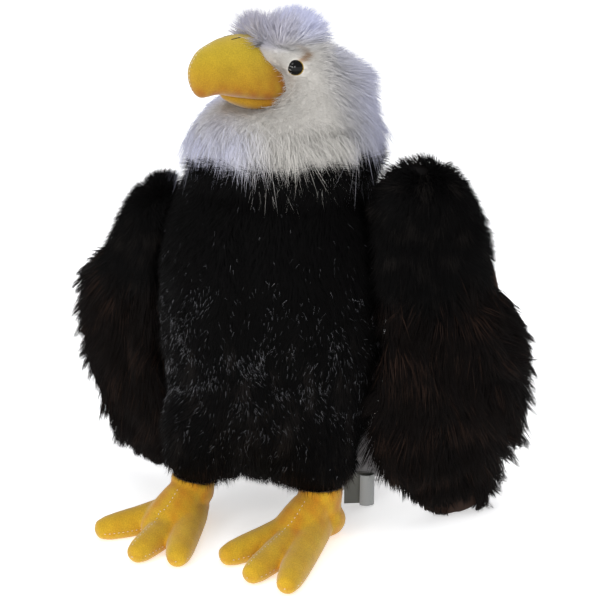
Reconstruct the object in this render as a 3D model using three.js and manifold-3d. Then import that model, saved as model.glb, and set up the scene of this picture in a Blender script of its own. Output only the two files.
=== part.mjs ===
// A stuffed bald eagle toy of long- and short-pile plush, with velour beak, legs and feet.
//
// It stands on its feet, its tail and the tip of its left wing, with the head turned to its right and
// the wings held away from the body. Millimetres, +Z up. The toy faces -Y and its left side is +X. The
// origin is on the floor, under the middle of the whole toy. Every outline is that of the pile, tips
// included, so each solid reaches as far as the longest hairs of its cloth.
import * as THREE from "three";
import { mergeVertices } from "three/addons/utils/BufferGeometryUtils.js";
import Module from "manifold-3d";

const wasm = await Module();
wasm.setup();

// ---- driving dimensions -----------------------------------------------------------------------

const GAP = 0.35; // clearance between pieces that touch

const TRUNK_FOOT = 30; // lowest point of the belly
const TRUNK_TOP = 285; // top of the stuffed body, inside the collar
const TRUNK_HALF_WIDTH = 82;
const TRUNK_HALF_DEPTH = 74;

const HEAD_TURN = THREE.MathUtils.degToRad(-34); // towards the toy's right
const NECK = [4, 8]; // the head turns on this upright line
const HOOD_LOW = 244; // hem of the long white pile
const HOOD_HIGH = 354; // crown
const HOOD_SPLIT = 284; // the collar is below this level, the head above
const HOOD_HALF_WIDTH = 70;

const MOUTH = 303; // level of the mouth line
const BEAK_HALF_WIDTH = 21;
const BEAK_HALF_HEIGHT = 19;
const EYE_RADIUS = 6;
const EYE = [28.5, -11, 324]; // centre of the left eye, in the head's frame

const WING_HALF_THICKNESS = 21;
const WING_BACK = 9; // the outer cloth ends on this plane, and the lining begins
const LINING_DEPTH = 7;

const TOE_RADIUS = 11;
const SHANK_RADIUS = 15;

const TAIL_HALF_WIDTH = 64;
const LABEL = { wide: 25, long: 24, thick: 1.2, middle: [54.5, 21.5, 13], turn: 29 };

// ---- fabrics ----------------------------------------------------------------------------------

const fabric = (color, roughness = 0.9) => new THREE.MeshStandardMaterial({ color, roughness, metalness: 0 });
const WHITE_PILE = fabric(0xeceae8);
const BLACK_PILE = fabric(0x0f0d0d);
const BROWN_PILE = fabric(0x231915);
const BROWN_VELOUR = fabric(0x4a2c22);
const YELLOW_VELOUR = fabric(0xe0b020);
const THREAD = fabric(0x2a2a14, 0.7);
const LABEL_SATIN = fabric(0xf2f2f4, 0.5);
const EYE_PLASTIC = fabric(0x0a0806, 0.08);

// ---- forms ------------------------------------------------------------------------------------

const vector = (p) => new THREE.Vector3(...p);

// A value read from evenly spaced stations by a smooth curve through them.
function station(values, t) {
  const line = new THREE.SplineCurve(values.map((value, i) => new THREE.Vector2(i, value)));
  return line.getPoint(t).y;
}

// A stuffed form: a unit sphere whose axis is laid along `path`. Its rings take the half sizes
// `width` and `depth`, given at evenly spaced stations, and its ends are domes, flatter with a
// larger `blunt`. `facing` is the way that the depth is measured, and `near` scales the depth on
// the opposite side. With `grow`, the form is larger by that much all round.
function stuffed(form, grow = 0) {
  const { path, width, depth, near = [1, 1], facing = [0, 1, 0], blunt = 2.4, rings = 12, sides = 18 } = form;
  const curve = new THREE.CatmullRomCurve3(path.map(vector), false, "centripetal");
  const sphere = new THREE.SphereGeometry(1, sides, rings);
  const points = sphere.getAttribute("position");
  const at = new THREE.Vector3();
  for (let i = 0; i < points.count; i++) {
    at.fromBufferAttribute(points, i);
    const t = THREE.MathUtils.clamp((1 - at.y) / 2, 0, 1);
    const ring = Math.hypot(at.x, at.z);
    const [cos, sin] = ring > 1e-6 ? [at.x / ring, at.z / ring] : [0, 0];
    const swell = Math.max(0, 1 - Math.abs(at.y) ** blunt) ** (1 / blunt);
    const along = curve.getTangentAt(t);
    const across = vector(facing).cross(along).normalize();
    const out = across.clone().cross(along).negate().normalize();
    const side = out.dot(vector(facing)) * sin < 0 ? station(near, t) : 1;
    const centre = curve.getPointAt(t).addScaledVector(along, -at.y * grow);
    centre.addScaledVector(across, cos * swell * (station(width, t) + grow));
    centre.addScaledVector(out, sin * swell * (station(depth, t) * side + grow));
    points.setXYZ(i, centre.x, centre.y, centre.z);
  }
  return solid(sphere);
}

// A closed geometry as a solid that can be cut and joined.
function solid(geometry) {
  const bare = geometry.clone().deleteAttribute("normal").deleteAttribute("uv");
  const merged = mergeVertices(bare, 1e-3);
  const made = (triVerts) =>
    new wasm.Manifold(
      new wasm.Mesh({ numProp: 3, vertProperties: merged.getAttribute("position").array, triVerts }),
    );
  const triangles = new Uint32Array(merged.index.array);
  const first = made(triangles);
  return first.volume() > 0 ? first : made(triangles.slice().reverse());
}

const block = (low, high) => {
  const size = vector(high).sub(vector(low));
  const middle = vector(low).addScaledVector(size, 0.5);
  return solid(new THREE.BoxGeometry(...size).translate(...middle));
};
const FAR = 600; // beyond every part of the toy
const ABOVE_FLOOR = block([-FAR, -FAR, 0], [FAR, FAR, FAR]);
const without = (piece, ...others) => others.reduce((left, other) => left.subtract(other), piece);
const joined = (...pieces) => pieces.reduce((sum, piece) => sum.add(piece));

// A solid of the toy's frame, given in a group's frame.
function into(group, piece) {
  group.updateMatrixWorld(true);
  return piece.transform(group.matrixWorld.clone().invert().elements);
}

// The largest body of a solid, as a named mesh.
function mesh(name, piece, material) {
  const [largest] = piece.decompose().sort((a, b) => b.volume() - a.volume());
  const { numProp, vertProperties, triVerts } = largest.getMesh();
  const positions = new Float32Array((vertProperties.length / numProp) * 3);
  for (let i = 0; i < positions.length / 3; i++)
    positions.set(vertProperties.subarray(i * numProp, i * numProp + 3), i * 3);
  const geometry = new THREE.BufferGeometry()
    .setAttribute("position", new THREE.BufferAttribute(positions, 3))
    .setIndex(new THREE.BufferAttribute(triVerts, 1));
  geometry.computeVertexNormals();
  const made = new THREE.Mesh(geometry, material);
  made.name = name;
  return made;
}

const times = (size, shares) => shares.map((share) => share * size);

// ---- trunk ------------------------------------------------------------------------------------

const trunkForm = {
  path: [
    [2, 4, TRUNK_FOOT],
    [0, 0, 80],
    [-3, -2, 130],
    [-3, 0, 180],
    [0, 6, 232],
    [2, 10, TRUNK_TOP],
  ],
  width: times(TRUNK_HALF_WIDTH, [0.92, 0.98, 1, 1, 0.96, 0.84]),
  depth: times(TRUNK_HALF_DEPTH, [0.94, 1, 1, 1, 0.9, 0.8]),
  blunt: 3.1,
  rings: 14,
  sides: 24,
};

// The cloth of the trunk comes down over the top of each leg.
const thighForm = ([x, y]) => ({
  path: [
    [x, y + 2, 31],
    [x * 0.8, y + 12, 106],
  ],
  width: [28, 34],
  depth: [28, 34],
  blunt: 2.6,
  rings: 8,
  sides: 16,
});

// ---- head, collar, beak and eyes: the head's frame looks along -Y --------------------------------

const hoodForm = {
  path: [
    [0, -5, HOOD_LOW],
    [0, -4, 260],
    [0, -1, 276],
    [0, 3, 292],
    [0, 6, 308],
    [0, 3, 324],
    [0, -3, 340],
    [0, -7, HOOD_HIGH],
  ],
  width: times(HOOD_HALF_WIDTH, [1.44, 1.16, 1.02, 0.88, 0.74, 0.6, 0.58, 0.57]),
  depth: times(HOOD_HALF_WIDTH, [1.08, 1.05, 1.05, 0.96, 0.71, 0.52, 0.46, 0.45]),
  near: [1.25, 1, 0.79, 0.46, 0.45, 0.58, 1.1, 1.26],
  blunt: 3.4,
  rings: 18,
  sides: 22,
};

const upperBeakForm = {
  path: [
    [0, 0, MOUTH + 1],
    [0, -23, MOUTH + 4],
    [0, -43, MOUTH + 9],
    [0, -57, MOUTH + 11],
    [0, -68, MOUTH + 3],
  ],
  width: times(BEAK_HALF_WIDTH, [1.24, 1.2, 1.08, 0.84, 0.48]),
  depth: times(BEAK_HALF_HEIGHT, [1.5, 1.61, 1.66, 1.52, 0.96]),
  near: [0.2, 0.27, 0.25, 0.28, 0.46],
  facing: [0, -0.5, 1],
  rings: 18,
  sides: 24,
};

const lowerBeakForm = {
  path: [
    [0, -2, MOUTH - 2],
    [0, -28, MOUTH - 3],
    [0, -50, MOUTH + 2],
  ],
  width: times(BEAK_HALF_WIDTH, [1.26, 1.06, 0.5]),
  depth: times(BEAK_HALF_HEIGHT, [0.42, 0.38, 0.2]),
  facing: [0, 0, 1],
  rings: 7,
  sides: 14,
};

const nostrilForm = (side) => ({
  path: [
    [side * 5.4, -38.6, MOUTH + 36.8],
    [side * 4.8, -43.6, MOUTH + 37.3],
  ],
  width: [0.9, 0.9],
  depth: [0.9, 0.9],
  facing: [0, 0, 1],
  rings: 6,
  sides: 8,
});

const SIDES = { left: 1, right: -1 };

function head(group) {
  const eyeball = (side, grow = 0) =>
    solid(new THREE.SphereGeometry(EYE_RADIUS + grow, 12, 8).translate(side * EYE[0], EYE[1], EYE[2]));
  const each = Object.values(SIDES);
  const upper = stuffed(upperBeakForm);
  const upperRoom = stuffed(upperBeakForm, GAP);
  const lowerRoom = stuffed(lowerBeakForm, GAP);
  const skull = without(stuffed(hoodForm), upperRoom, lowerRoom, ...each.map((side) => eyeball(side, GAP)));
  const above = block([-FAR, -FAR, HOOD_SPLIT + GAP / 2], [FAR, FAR, FAR]);
  const below = block([-FAR, -FAR, 0], [FAR, FAR, HOOD_SPLIT - GAP / 2]);
  group.add(mesh("head", skull.intersect(above), WHITE_PILE));
  group.add(mesh("collar", skull.intersect(below), WHITE_PILE));
  const nostrilRooms = each.map((side) => stuffed(nostrilForm(side), GAP));
  group.add(mesh("beak_upper", without(upper, ...nostrilRooms), YELLOW_VELOUR));
  group.add(mesh("beak_lower", without(stuffed(lowerBeakForm), upperRoom), YELLOW_VELOUR));
  for (const [name, side] of Object.entries(SIDES)) {
    group.add(mesh(`nostril_${name}`, stuffed(nostrilForm(side)), THREAD));
    group.add(mesh(`eye_${name}`, eyeball(side), EYE_PLASTIC));
  }
}

// ---- wings: in a wing's own frame the chord runs out along X and the lined back faces +Y ----------

const WINGS = {
  left: {
    root: [76, -8, 268],
    sweep: 48, // degrees back from straight out
    shoulder: { path: [[26, -3], [31, -40], [38, -86], [42, -130]], width: [36, 47, 54, 52] },
    fringe: { path: [[52, -76], [54, -140], [58, -205], [74, -269]], width: [54, 66, 62, 38] },
    lining: { path: [[32, -16], [46, -100], [58, -190], [78, -276]], width: [40, 64, 58, 26] },
  },
  right: {
    root: [-72, -8, 240],
    sweep: 14,
    shoulder: { path: [[4, -4], [16, -36], [30, -76], [36, -112]], width: [24, 34, 42, 42] },
    fringe: { path: [[42, -52], [44, -110], [40, -164], [18, -226]], width: [48, 62, 60, 32] },
    lining: { path: [[12, -8], [36, -80], [40, -150], [20, -219]], width: [30, 56, 56, 28] },
  },
};

function wing(group, name, { root, sweep, shoulder, fringe, lining }, neighbours) {
  const side = SIDES[name];
  group.position.set(...root);
  group.rotation.z = side * THREE.MathUtils.degToRad(sweep);
  const form = ({ path, width }, y, depth, detail) => ({
    path: path.map(([x, z]) => [side * x, y, z]),
    width,
    depth,
    ...detail,
  });
  const detail = { rings: 11, sides: 20 };
  const shoulderForm = form(shoulder, 0, times(WING_HALF_THICKNESS, [1, 1.1, 1.05, 0.9]), detail);
  const fringeForm = form(fringe, 0, times(WING_HALF_THICKNESS, [1, 1.15, 1.05, 0.6]), detail);
  const liningForm = form(lining, WING_BACK - 3, times(LINING_DEPTH, [1, 1.3, 1.2, 1]), detail);
  const behind = (y) => block([-FAR, y, -FAR], [FAR, FAR, FAR]);
  const room = [behind(WING_BACK), ...neighbours.map((piece) => into(group, piece))];
  const floor = into(group, ABOVE_FLOOR);
  const outer = without(stuffed(shoulderForm), stuffed(fringeForm, GAP), ...room);
  group.add(mesh(`wing_${name}_shoulder`, outer, BLACK_PILE));
  group.add(mesh(`wing_${name}_fringe`, without(stuffed(fringeForm), ...room).intersect(floor), BROWN_PILE));
  const cloth = stuffed(liningForm).intersect(behind(WING_BACK + GAP)).intersect(floor);
  group.add(mesh(`wing_${name}_lining`, without(cloth, ...room.slice(1)), BROWN_VELOUR));
}

// ---- legs and feet: in a foot's own frame the toes point along -Y --------------------------------

const FEET = {
  left: { ankle: [45, -28], heel: [12, 10], toes: [[-29, 83], [-8, 89], [10, 92]] }, // degrees, reach
  right: { ankle: [-43, -50], heel: [-2, 12], toes: [[-42, 72], [-5, 74], [19, 71]] },
};

function leg(group, name, { ankle, heel, toes }, neighbours) {
  group.position.set(...ankle, 0);
  const shankForm = {
    path: [
      [0, -4, 11],
      [0, 1, 34],
      [0, 8, 66],
    ],
    width: times(SHANK_RADIUS, [1.1, 0.97, 0.95]),
    depth: times(SHANK_RADIUS, [1.2, 1, 1]),
    blunt: 3,
    rings: 7,
    sides: 14,
  };
  const toeForms = toes.map(([degrees, reach]) => {
    const angle = THREE.MathUtils.degToRad(degrees);
    const ahead = (distance, height) => [Math.sin(angle) * distance, -Math.cos(angle) * distance, height];
    return {
      path: [ahead(-6, 14), ahead(reach * 0.45, 8.5), ahead(reach, 6.8)],
      width: times(TOE_RADIUS, [1.2, 0.95, 0.84]),
      depth: times(TOE_RADIUS, [1.3, 0.95, 0.8]),
      facing: [0, 0, 1],
      blunt: 3.6,
      rings: 9,
      sides: 12,
    };
  });
  const heelForm = {
    path: [
      [0, -10, 15],
      [...heel, 8.5],
    ],
    width: [14, 10],
    depth: [15, 10],
    facing: [0, 0, 1],
    rings: 7,
    sides: 10,
  };
  const [middle] = toes[1];
  const lean = Math.sin(THREE.MathUtils.degToRad(middle - 8));
  const instepForm = {
    path: [
      [0, 4, 34],
      [lean * 12, -14, 22],
      [lean * 46, -46, 6],
    ],
    width: [13, 14.5, 16],
    depth: [12, 11, 8],
    facing: [0, -0.6, 0.8],
    rings: 8,
    sides: 14,
  };
  const forms = [...toeForms, heelForm, instepForm];
  const room = neighbours.map((piece) => into(group, piece));
  const whole = joined(...forms.map((form) => stuffed(form))).intersect(ABOVE_FLOOR);
  const foot = without(whole, stuffed(shankForm, GAP), ...room);
  const shank = without(stuffed(shankForm), ...room);
  group.add(mesh(`leg_${name}`, shank, YELLOW_VELOUR));
  group.add(mesh(`foot_${name}`, foot, YELLOW_VELOUR));
}

// ---- tail and label ---------------------------------------------------------------------------

const tailForm = {
  path: [
    [8, 12, 29],
    [7, 66, 23],
    [2, 118, 10],
  ],
  width: times(TAIL_HALF_WIDTH, [0.92, 1.04, 0.98]),
  depth: [34, 28, 12],
  facing: [0, 0, 1],
  blunt: 3.3,
  rings: 11,
  sides: 20,
};

// A folded satin label, sewn in where the tail meets the left side of the trunk.
function label(group, neighbours) {
  group.position.set(...LABEL.middle);
  group.rotation.z = THREE.MathUtils.degToRad(LABEL.turn);
  const plate = solid(new THREE.BoxGeometry(LABEL.wide, LABEL.thick, LABEL.long));
  const free = without(plate, ...neighbours.map((piece) => into(group, piece)));
  group.add(mesh("care_label", free, LABEL_SATIN));
}

// ---- the toy ----------------------------------------------------------------------------------

const toy = new THREE.Group();
const assembly = new THREE.Group();
toy.add(assembly);
const inside = (parent) => {
  const group = new THREE.Group();
  parent.add(group);
  return group;
};

const headGroup = inside(assembly);
headGroup.position.set(...NECK, 0);
headGroup.rotation.z = HEAD_TURN;
head(headGroup);
headGroup.updateMatrixWorld(true);
const hoodRoom = stuffed(hoodForm, GAP).transform(headGroup.matrixWorld.elements);
const body = (grow) =>
  joined(stuffed(trunkForm, grow), ...Object.values(FEET).map(({ ankle }) => stuffed(thighForm(ankle), grow)));
const trunk = without(body(0), hoodRoom);
const trunkRoom = body(GAP);
assembly.add(mesh("trunk", trunk, BLACK_PILE));
for (const [name, spec] of Object.entries(WINGS)) wing(inside(assembly), name, spec, [trunkRoom, hoodRoom]);
for (const [name, spec] of Object.entries(FEET)) leg(inside(assembly), name, spec, [trunkRoom]);
assembly.add(mesh("tail", without(stuffed(tailForm), trunkRoom).intersect(ABOVE_FLOOR), WHITE_PILE));
label(inside(assembly), [trunkRoom, stuffed(tailForm, GAP)]);

// The origin goes to the floor under the middle of the whole toy.
const whole = new THREE.Box3().setFromObject(assembly, true);
assembly.position.set(-(whole.min.x + whole.max.x) / 2, -(whole.min.y + whole.max.y) / 2, 0);

export default toy;
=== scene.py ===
"""Dresses the CAD frame of a stuffed bald eagle toy.

The toy is sewn from long-pile plush over stuffing, with a velour beak, feet and wing linings,
plastic eyes and a satin label. The CAD solids end at the tips of the pile, so every plush skin
here is cast on a solid and drawn in by the depth of its coat, and the coat grows back out of it
as tufts. The script registers the operators below and runs them in order.
"""

import math
from functools import partial

import bpy
import mathutils
import numpy as np
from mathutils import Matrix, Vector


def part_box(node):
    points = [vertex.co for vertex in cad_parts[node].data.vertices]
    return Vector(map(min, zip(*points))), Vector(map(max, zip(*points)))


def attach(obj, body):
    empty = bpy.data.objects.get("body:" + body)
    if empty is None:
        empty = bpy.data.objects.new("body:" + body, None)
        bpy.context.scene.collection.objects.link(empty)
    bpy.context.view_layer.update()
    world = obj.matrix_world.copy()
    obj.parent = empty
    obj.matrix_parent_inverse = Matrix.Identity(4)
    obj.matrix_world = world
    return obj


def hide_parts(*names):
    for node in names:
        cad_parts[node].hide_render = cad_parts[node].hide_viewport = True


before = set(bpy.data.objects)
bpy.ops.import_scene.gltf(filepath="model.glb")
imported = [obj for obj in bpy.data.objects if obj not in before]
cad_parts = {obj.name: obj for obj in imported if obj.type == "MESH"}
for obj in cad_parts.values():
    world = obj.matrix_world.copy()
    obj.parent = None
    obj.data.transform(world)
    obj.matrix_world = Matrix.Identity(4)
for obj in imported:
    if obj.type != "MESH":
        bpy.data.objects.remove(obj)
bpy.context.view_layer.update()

bl_info = {
    "name": "Stuffed bald eagle",
    "version": (1, 0, 0),
    "blender": (4, 5, 0),
    "location": "3D View > Sidebar > Eagle",
    "description": "Sews and dresses a stuffed bald eagle toy round its CAD frame",
    "category": "Object",
}

MM = 0.001
UP = np.array([0.0, 0.0, 1.0])
FRONT = np.array([0.0, -1.0, 0.0])
SIDES = {"left": 1, "right": -1}
FLOOR_CLEARANCE = 0.3 * MM
SOLE_CLEARANCE = 0.05 * MM
VOXEL = 1.1 * MM
SOLE_SEAM = 6.5 * MM


# ---------------------------------------------------------------- small tools


def unit(vectors):
    """Vectors scaled to length 1."""
    return vectors / np.maximum(np.linalg.norm(vectors, axis=-1, keepdims=True), 1e-12)


def ease(value, low, high):
    """A smooth step, 3t² - 2t³, from 0 at low to 1 at high."""
    t = np.clip((value - low) / (high - low), 0, 1)
    return t * t * (3 - 2 * t)


def dot(a, b):
    """The dot product of each pair of rows."""
    return (a * b).sum(-1, keepdims=True)


def drift(places, spacing, seed):
    """A smooth wander from about -1 to 1: the mean of six sines of random direction and phase,
    each with a wavelength of about `spacing`."""
    rng = np.random.default_rng(seed)
    waves = rng.normal(size=(6, 3)) * (2 * math.pi / spacing / math.sqrt(3))
    phases = rng.uniform(0, 2 * math.pi, 6)
    return np.sin(places @ waves.T + phases).sum(-1) / 2.5


def from_line(places, start, end):
    """The distance from each place to the straight line between two points."""
    start, end = np.array(start, float), np.array(end, float)
    along = end - start
    share = np.clip(((places - start) @ along) / (along @ along), 0, 1)
    return np.linalg.norm(places - start - share[..., None] * along, axis=-1)


def sampled(line, run, at):
    """The places at some runs along a line, whose points stand at the runs given."""
    return np.stack([np.interp(at, run, line[:, k]) for k in range(3)], -1)


def box(node):
    """The low and high corners of a CAD node's box."""
    low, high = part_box(node)
    return np.array(low), np.array(high)


def middle(node):
    """The middle of a CAD node's box."""
    low, high = box(node)
    return (low + high) / 2


def triangles_of(*nodes):
    """The corners of each triangle of some CAD nodes, as triangles by corners by axes."""
    found = []
    for name in nodes:
        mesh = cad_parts[name].data
        mesh.calc_loop_triangles()
        corners = np.empty(len(mesh.loop_triangles) * 3, np.int32)
        mesh.loop_triangles.foreach_get("vertices", corners)
        places = np.empty(len(mesh.vertices) * 3, np.float32)
        mesh.vertices.foreach_get("co", places)
        found.append(places.reshape(-1, 3)[corners].reshape(-1, 3, 3).astype(float))
    return np.concatenate(found)


def reach(origins, rays, triangles):
    """How far each ray goes to the last triangle that it crosses, and 0 where it crosses none.
    This is Möller and Trumbore's test, with its triple products taken as matrix products."""
    a, b, c = triangles.transpose(1, 0, 2)
    first, second = b - a, c - a
    normal = np.cross(first, second)
    far = np.zeros(len(rays))
    for part in np.array_split(np.arange(len(rays)), max(1, len(rays) // 1500)):
        origin, ray = origins[part], rays[part]
        moment = np.cross(origin, ray)
        facing = -(ray @ normal.T)
        facing[np.abs(facing) < 1e-15] = np.inf
        u = (moment @ second.T - ray @ np.cross(second, a).T) / facing
        v = (-moment @ first.T - ray @ np.cross(a, first).T) / facing
        away = (origin @ normal.T - (a * normal).sum(1)) / facing
        hit = (u > -1e-6) & (v > -1e-6) & (u + v < 1 + 1e-6) & (away > 0)
        far[part] = np.where(hit, away, 0).max(1)
    return far


def apart_from(places, points):
    """The distance of each place from the nearest of some points."""
    square = (places**2).sum(-1)[..., None] - 2 * places @ points.T + (points**2).sum(-1)
    return np.sqrt(np.maximum(square.min(-1), 0))


def smoothed(grid, passes):
    """A grid of places averaged with its neighbours, 1 2 1, along the sides and the rings."""
    for _ in range(passes):
        grid = (np.roll(grid, 1, 1) + 2 * grid + np.roll(grid, -1, 1)) / 4
        wide = np.concatenate([grid[:1], grid, grid[-1:]])
        grid = (wide[:-2] + 2 * wide[1:-1] + wide[2:]) / 4
    return grid


# ---------------------------------------------------------------- meshes


def piece_of(name, places, corners, sizes):
    """A smooth mesh object at the origin. `corners` is the faces' vertices in one row, and
    `sizes` is each face's number of corners."""
    mesh = bpy.data.meshes.new(name)
    mesh.vertices.add(len(places))
    mesh.vertices.foreach_set("co", np.ascontiguousarray(places, np.float32).ravel())
    mesh.loops.add(len(corners))
    mesh.loops.foreach_set("vertex_index", np.ascontiguousarray(corners, np.int32))
    mesh.polygons.add(len(sizes))
    starts = np.concatenate([[0], np.cumsum(sizes)[:-1]])
    mesh.polygons.foreach_set("loop_start", starts.astype(np.int32))
    mesh.update(calc_edges=True)
    mesh.shade_smooth()
    piece = bpy.data.objects.new(name, mesh)
    bpy.context.scene.collection.objects.link(piece)
    return piece


def write(piece, **values):
    """Stores numbers under names for the materials to read: one for all of the vertices, one
    for each of them, or one for each of the equal runs of vertices that tufts are."""
    for name, numbers in values.items():
        numbers = np.ravel(numbers).astype(np.float32)
        numbers = np.repeat(numbers, len(piece.data.vertices) // len(numbers))
        piece.data.attributes.new(name, "FLOAT", "POINT").data.foreach_set("value", numbers)


def dress(piece, make, slot, *nodes):
    """Gives a piece the material that a function makes and the body it rides on, and hides the CAD
    nodes it stands for. Pieces of one material share it. `slot`, its record slot, is not used."""
    name = make.__name__.replace("_", " ")
    piece.data.materials.append(bpy.data.materials.get(name) or make(name))
    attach(piece, "root")
    if nodes:
        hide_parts(*nodes)
    return piece


class Shell:
    """A closed skin on a grid: row r of `places` is a ring and column s a side. The sides run
    round and meet, and one vertex closes each end."""

    def __init__(self, places):
        self.places = places
        around = np.roll(places, -1, 1) - np.roll(places, 1, 1)
        self.normals = unit(np.cross(around, np.gradient(places, axis=0)))

    def drawn_in(self, origins, depth):
        """The same skin nearer to the line that it was cast from, by depth but at most by two
        thirds of the way."""
        way = self.places - origins
        length = np.linalg.norm(way, axis=-1, keepdims=True)
        depth = np.broadcast_to(depth, length.shape[:2])[..., None]
        return Shell(origins + way * (1 - np.minimum(depth, 0.66 * length) / length))

    def piece(self, name):
        """The mesh: a four-sided face for each cell and a fan round each end."""
        rings, sides = self.places.shape[:2]
        ring, side = np.mgrid[: rings - 1, :sides]
        beside = (side + 1) % sides
        cells = [ring * sides + side, ring * sides + beside]
        cells += [cells[1] + sides, cells[0] + sides]
        low, high = rings * sides, rings * sides + 1
        turn = np.arange(sides)
        after = (turn + 1) % sides
        last = (rings - 1) * sides
        low_fan = np.stack([np.full(sides, low), after, turn], 1)
        high_fan = np.stack([np.full(sides, high), last + turn, last + after], 1)
        corners = np.concatenate(
            [np.stack(cells, -1).ravel(), low_fan.ravel(), high_fan.ravel()]
        )
        sizes = np.concatenate([np.full((rings - 1) * sides, 4), np.full(2 * sides, 3)])
        return piece_of(name, self.vertices(), corners, sizes)

    def vertices(self):
        """The mesh's vertices: the grid's places, then the middle of each end ring."""
        ends = np.stack([self.places[0].mean(0), self.places[-1].mean(0)])
        return np.vstack([self.places.reshape(-1, 3), ends])

    def triangles(self):
        """The corners of each of the skin's triangles, without the ends."""
        here, right = self.places, np.roll(self.places, -1, 1)
        lower = np.stack([here[:-1], right[:-1], right[1:]], 2)
        upper = np.stack([here[:-1], right[1:], here[1:]], 2)
        return np.concatenate([lower.reshape(-1, 3, 3), upper.reshape(-1, 3, 3)])


def ball(centre, radius, rings=40, sides=48):
    """A ball as a shell: radius·sin t round the upright axis, at height radius·cos t."""
    polar = np.linspace(math.pi - 0.05, 0.05, rings)[:, None, None]
    turn = np.linspace(0, 2 * math.pi, sides, endpoint=False)[None, :, None]
    ring = np.array([1, 0, 0]) * np.cos(turn) + np.array([0, 1, 0]) * np.sin(turn)
    return Shell(centre + radius * (ring * np.sin(polar) + UP * np.cos(polar)))


def cast(triangles, line, facing, rings=96, sides=96, section=(1, 1), caps=0.3, passes=4):
    """A skin cast on solids from a line inside them, and the place that each of its rays left.

    The line is straight. The rays leave it square to it, in the directions
    w·cos u·a + h·sin u·b, where a and b are square to the line, b is nearest to `facing` and
    (w, h) is the section. Past each end they tilt towards the line's own direction, as on a
    capsule. Each ray goes to the last face that it crosses, and the grid is then smoothed,
    which rounds the solids' facets.
    """
    cap = int(rings * caps)
    share = np.concatenate([np.zeros(cap), np.linspace(0, 1, rings - 2 * cap), np.ones(cap)])
    steep = math.radians(86) * (1 - np.arange(cap) / cap)
    lean = np.concatenate([-steep, np.zeros(rings - 2 * cap), steep[::-1]])[:, None, None]
    start, end = np.array(line, float)
    origins = start + share[:, None] * (end - start)
    along = np.broadcast_to(unit(end - start), origins.shape)
    across = unit(np.cross(facing, along))
    out = np.cross(along, across)
    turn = np.linspace(0, 2 * math.pi, sides, endpoint=False)[None, :, None]
    wide, deep = section
    ray = unit(wide * np.cos(turn) * across[:, None] + deep * np.sin(turn) * out[:, None])
    ray = ray * np.cos(lean) + along[:, None] * np.sin(lean)
    starts = np.broadcast_to(origins[:, None], ray.shape)
    far = reach(starts.reshape(-1, 3), ray.reshape(-1, 3), triangles)
    places = starts + ray * far.reshape(rings, sides, 1)
    return Shell(smoothed(places, passes)), starts


# ---------------------------------------------------------------- pile


class Roots:
    """Places scattered over a shell, more where its cells are large or its density is high.

    `bake` is each root's place on the unrolled shell, from 0 to 1 along the sides and rings.
    """

    def __init__(self, shell, count, seed, density=None):
        self.rng = np.random.default_rng(seed)
        here = shell.places
        right = np.roll(here, -1, 1)
        area = np.linalg.norm(np.cross(right[1:] - here[:-1], here[1:] - right[:-1]), axis=-1)
        if density is not None:
            centre = (here[:-1] + right[:-1] + here[1:] + right[1:]) / 4
            normal = unit((shell.normals[:-1] + shell.normals[1:]) / 2)
            area = area * density(centre, normal)
        rings, sides = area.shape
        cell = self.rng.choice(area.size, count, p=area.ravel() / area.sum())
        self.ring, self.side = np.divmod(cell, sides)
        self.up, self.across = self.rng.random((2, count, 1))
        self.beside = (self.side + 1) % sides
        self.places = self.between(shell.places)
        self.normals = unit(self.between(shell.normals))
        bake = [self.side[:, None] + self.across, self.ring[:, None] + self.up]
        self.bake = np.hstack([bake[0] / sides, bake[1] / rings])
        self.count = count

    def wander(self, amount, spacing, seed, scatter):
        """A value for each root that drifts smoothly, plus a random scatter of its own."""
        smooth = amount * drift(self.places, spacing, seed)
        return smooth + self.rng.normal(0, scatter, self.count)

    def between(self, field):
        """A field of the shell, mixed from the four corners of each root's cell."""
        low = field[self.ring, self.side] * (1 - self.across)
        low = low + field[self.ring, self.beside] * self.across
        high = field[self.ring + 1, self.side] * (1 - self.across)
        high = high + field[self.ring + 1, self.beside] * self.across
        return low * (1 - self.up) + high * self.up


def laid(flow, normals, lift, swirl=0):
    """The direction of each tuft: the part of flow that lies along the skin, turned by swirl
    radians about the normal and raised from the skin by lift radians."""
    flat = unit(flow - normals * dot(flow, normals))
    swirl = np.broadcast_to(swirl, normals.shape[:1])[:, None]
    flat = flat * np.cos(swirl) + np.cross(normals, flat) * np.sin(swirl)
    lift = np.broadcast_to(lift, normals.shape[:1])[:, None]
    return flat * np.cos(lift) + normals * np.sin(lift)


def locked(roots, reaches, spacing, pull):
    """How far each tuft's tip moves to gather into locks: by pull of the way to the tip of the
    nearest of some leading tufts, which stand about `spacing` apart."""
    wide, deep, tall = np.ptp(roots.places, axis=0)
    area = 2 * (wide * deep + deep * tall + tall * wide)
    some = min(roots.count, int(area / spacing**2))
    leaders = roots.rng.choice(roots.count, some, replace=False)
    heads = roots.places[leaders]
    nearest = np.empty(roots.count, int)
    for part in np.array_split(np.arange(roots.count), max(1, roots.count // 2000)):
        apart = (heads**2).sum(1) - 2 * roots.places[part] @ heads.T
        nearest[part] = apart.argmin(1)
    tips = roots.places + reaches
    return (tips[leaders][nearest] - tips) * np.reshape(pull, (-1, 1))


def mottled(roots, spacing, seed):
    """Shades from 0 to 1 that run together in clumps about `spacing` across."""
    return np.clip(0.5 + roots.wander(0.3, spacing, seed, 0.2), 0, 1)


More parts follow.
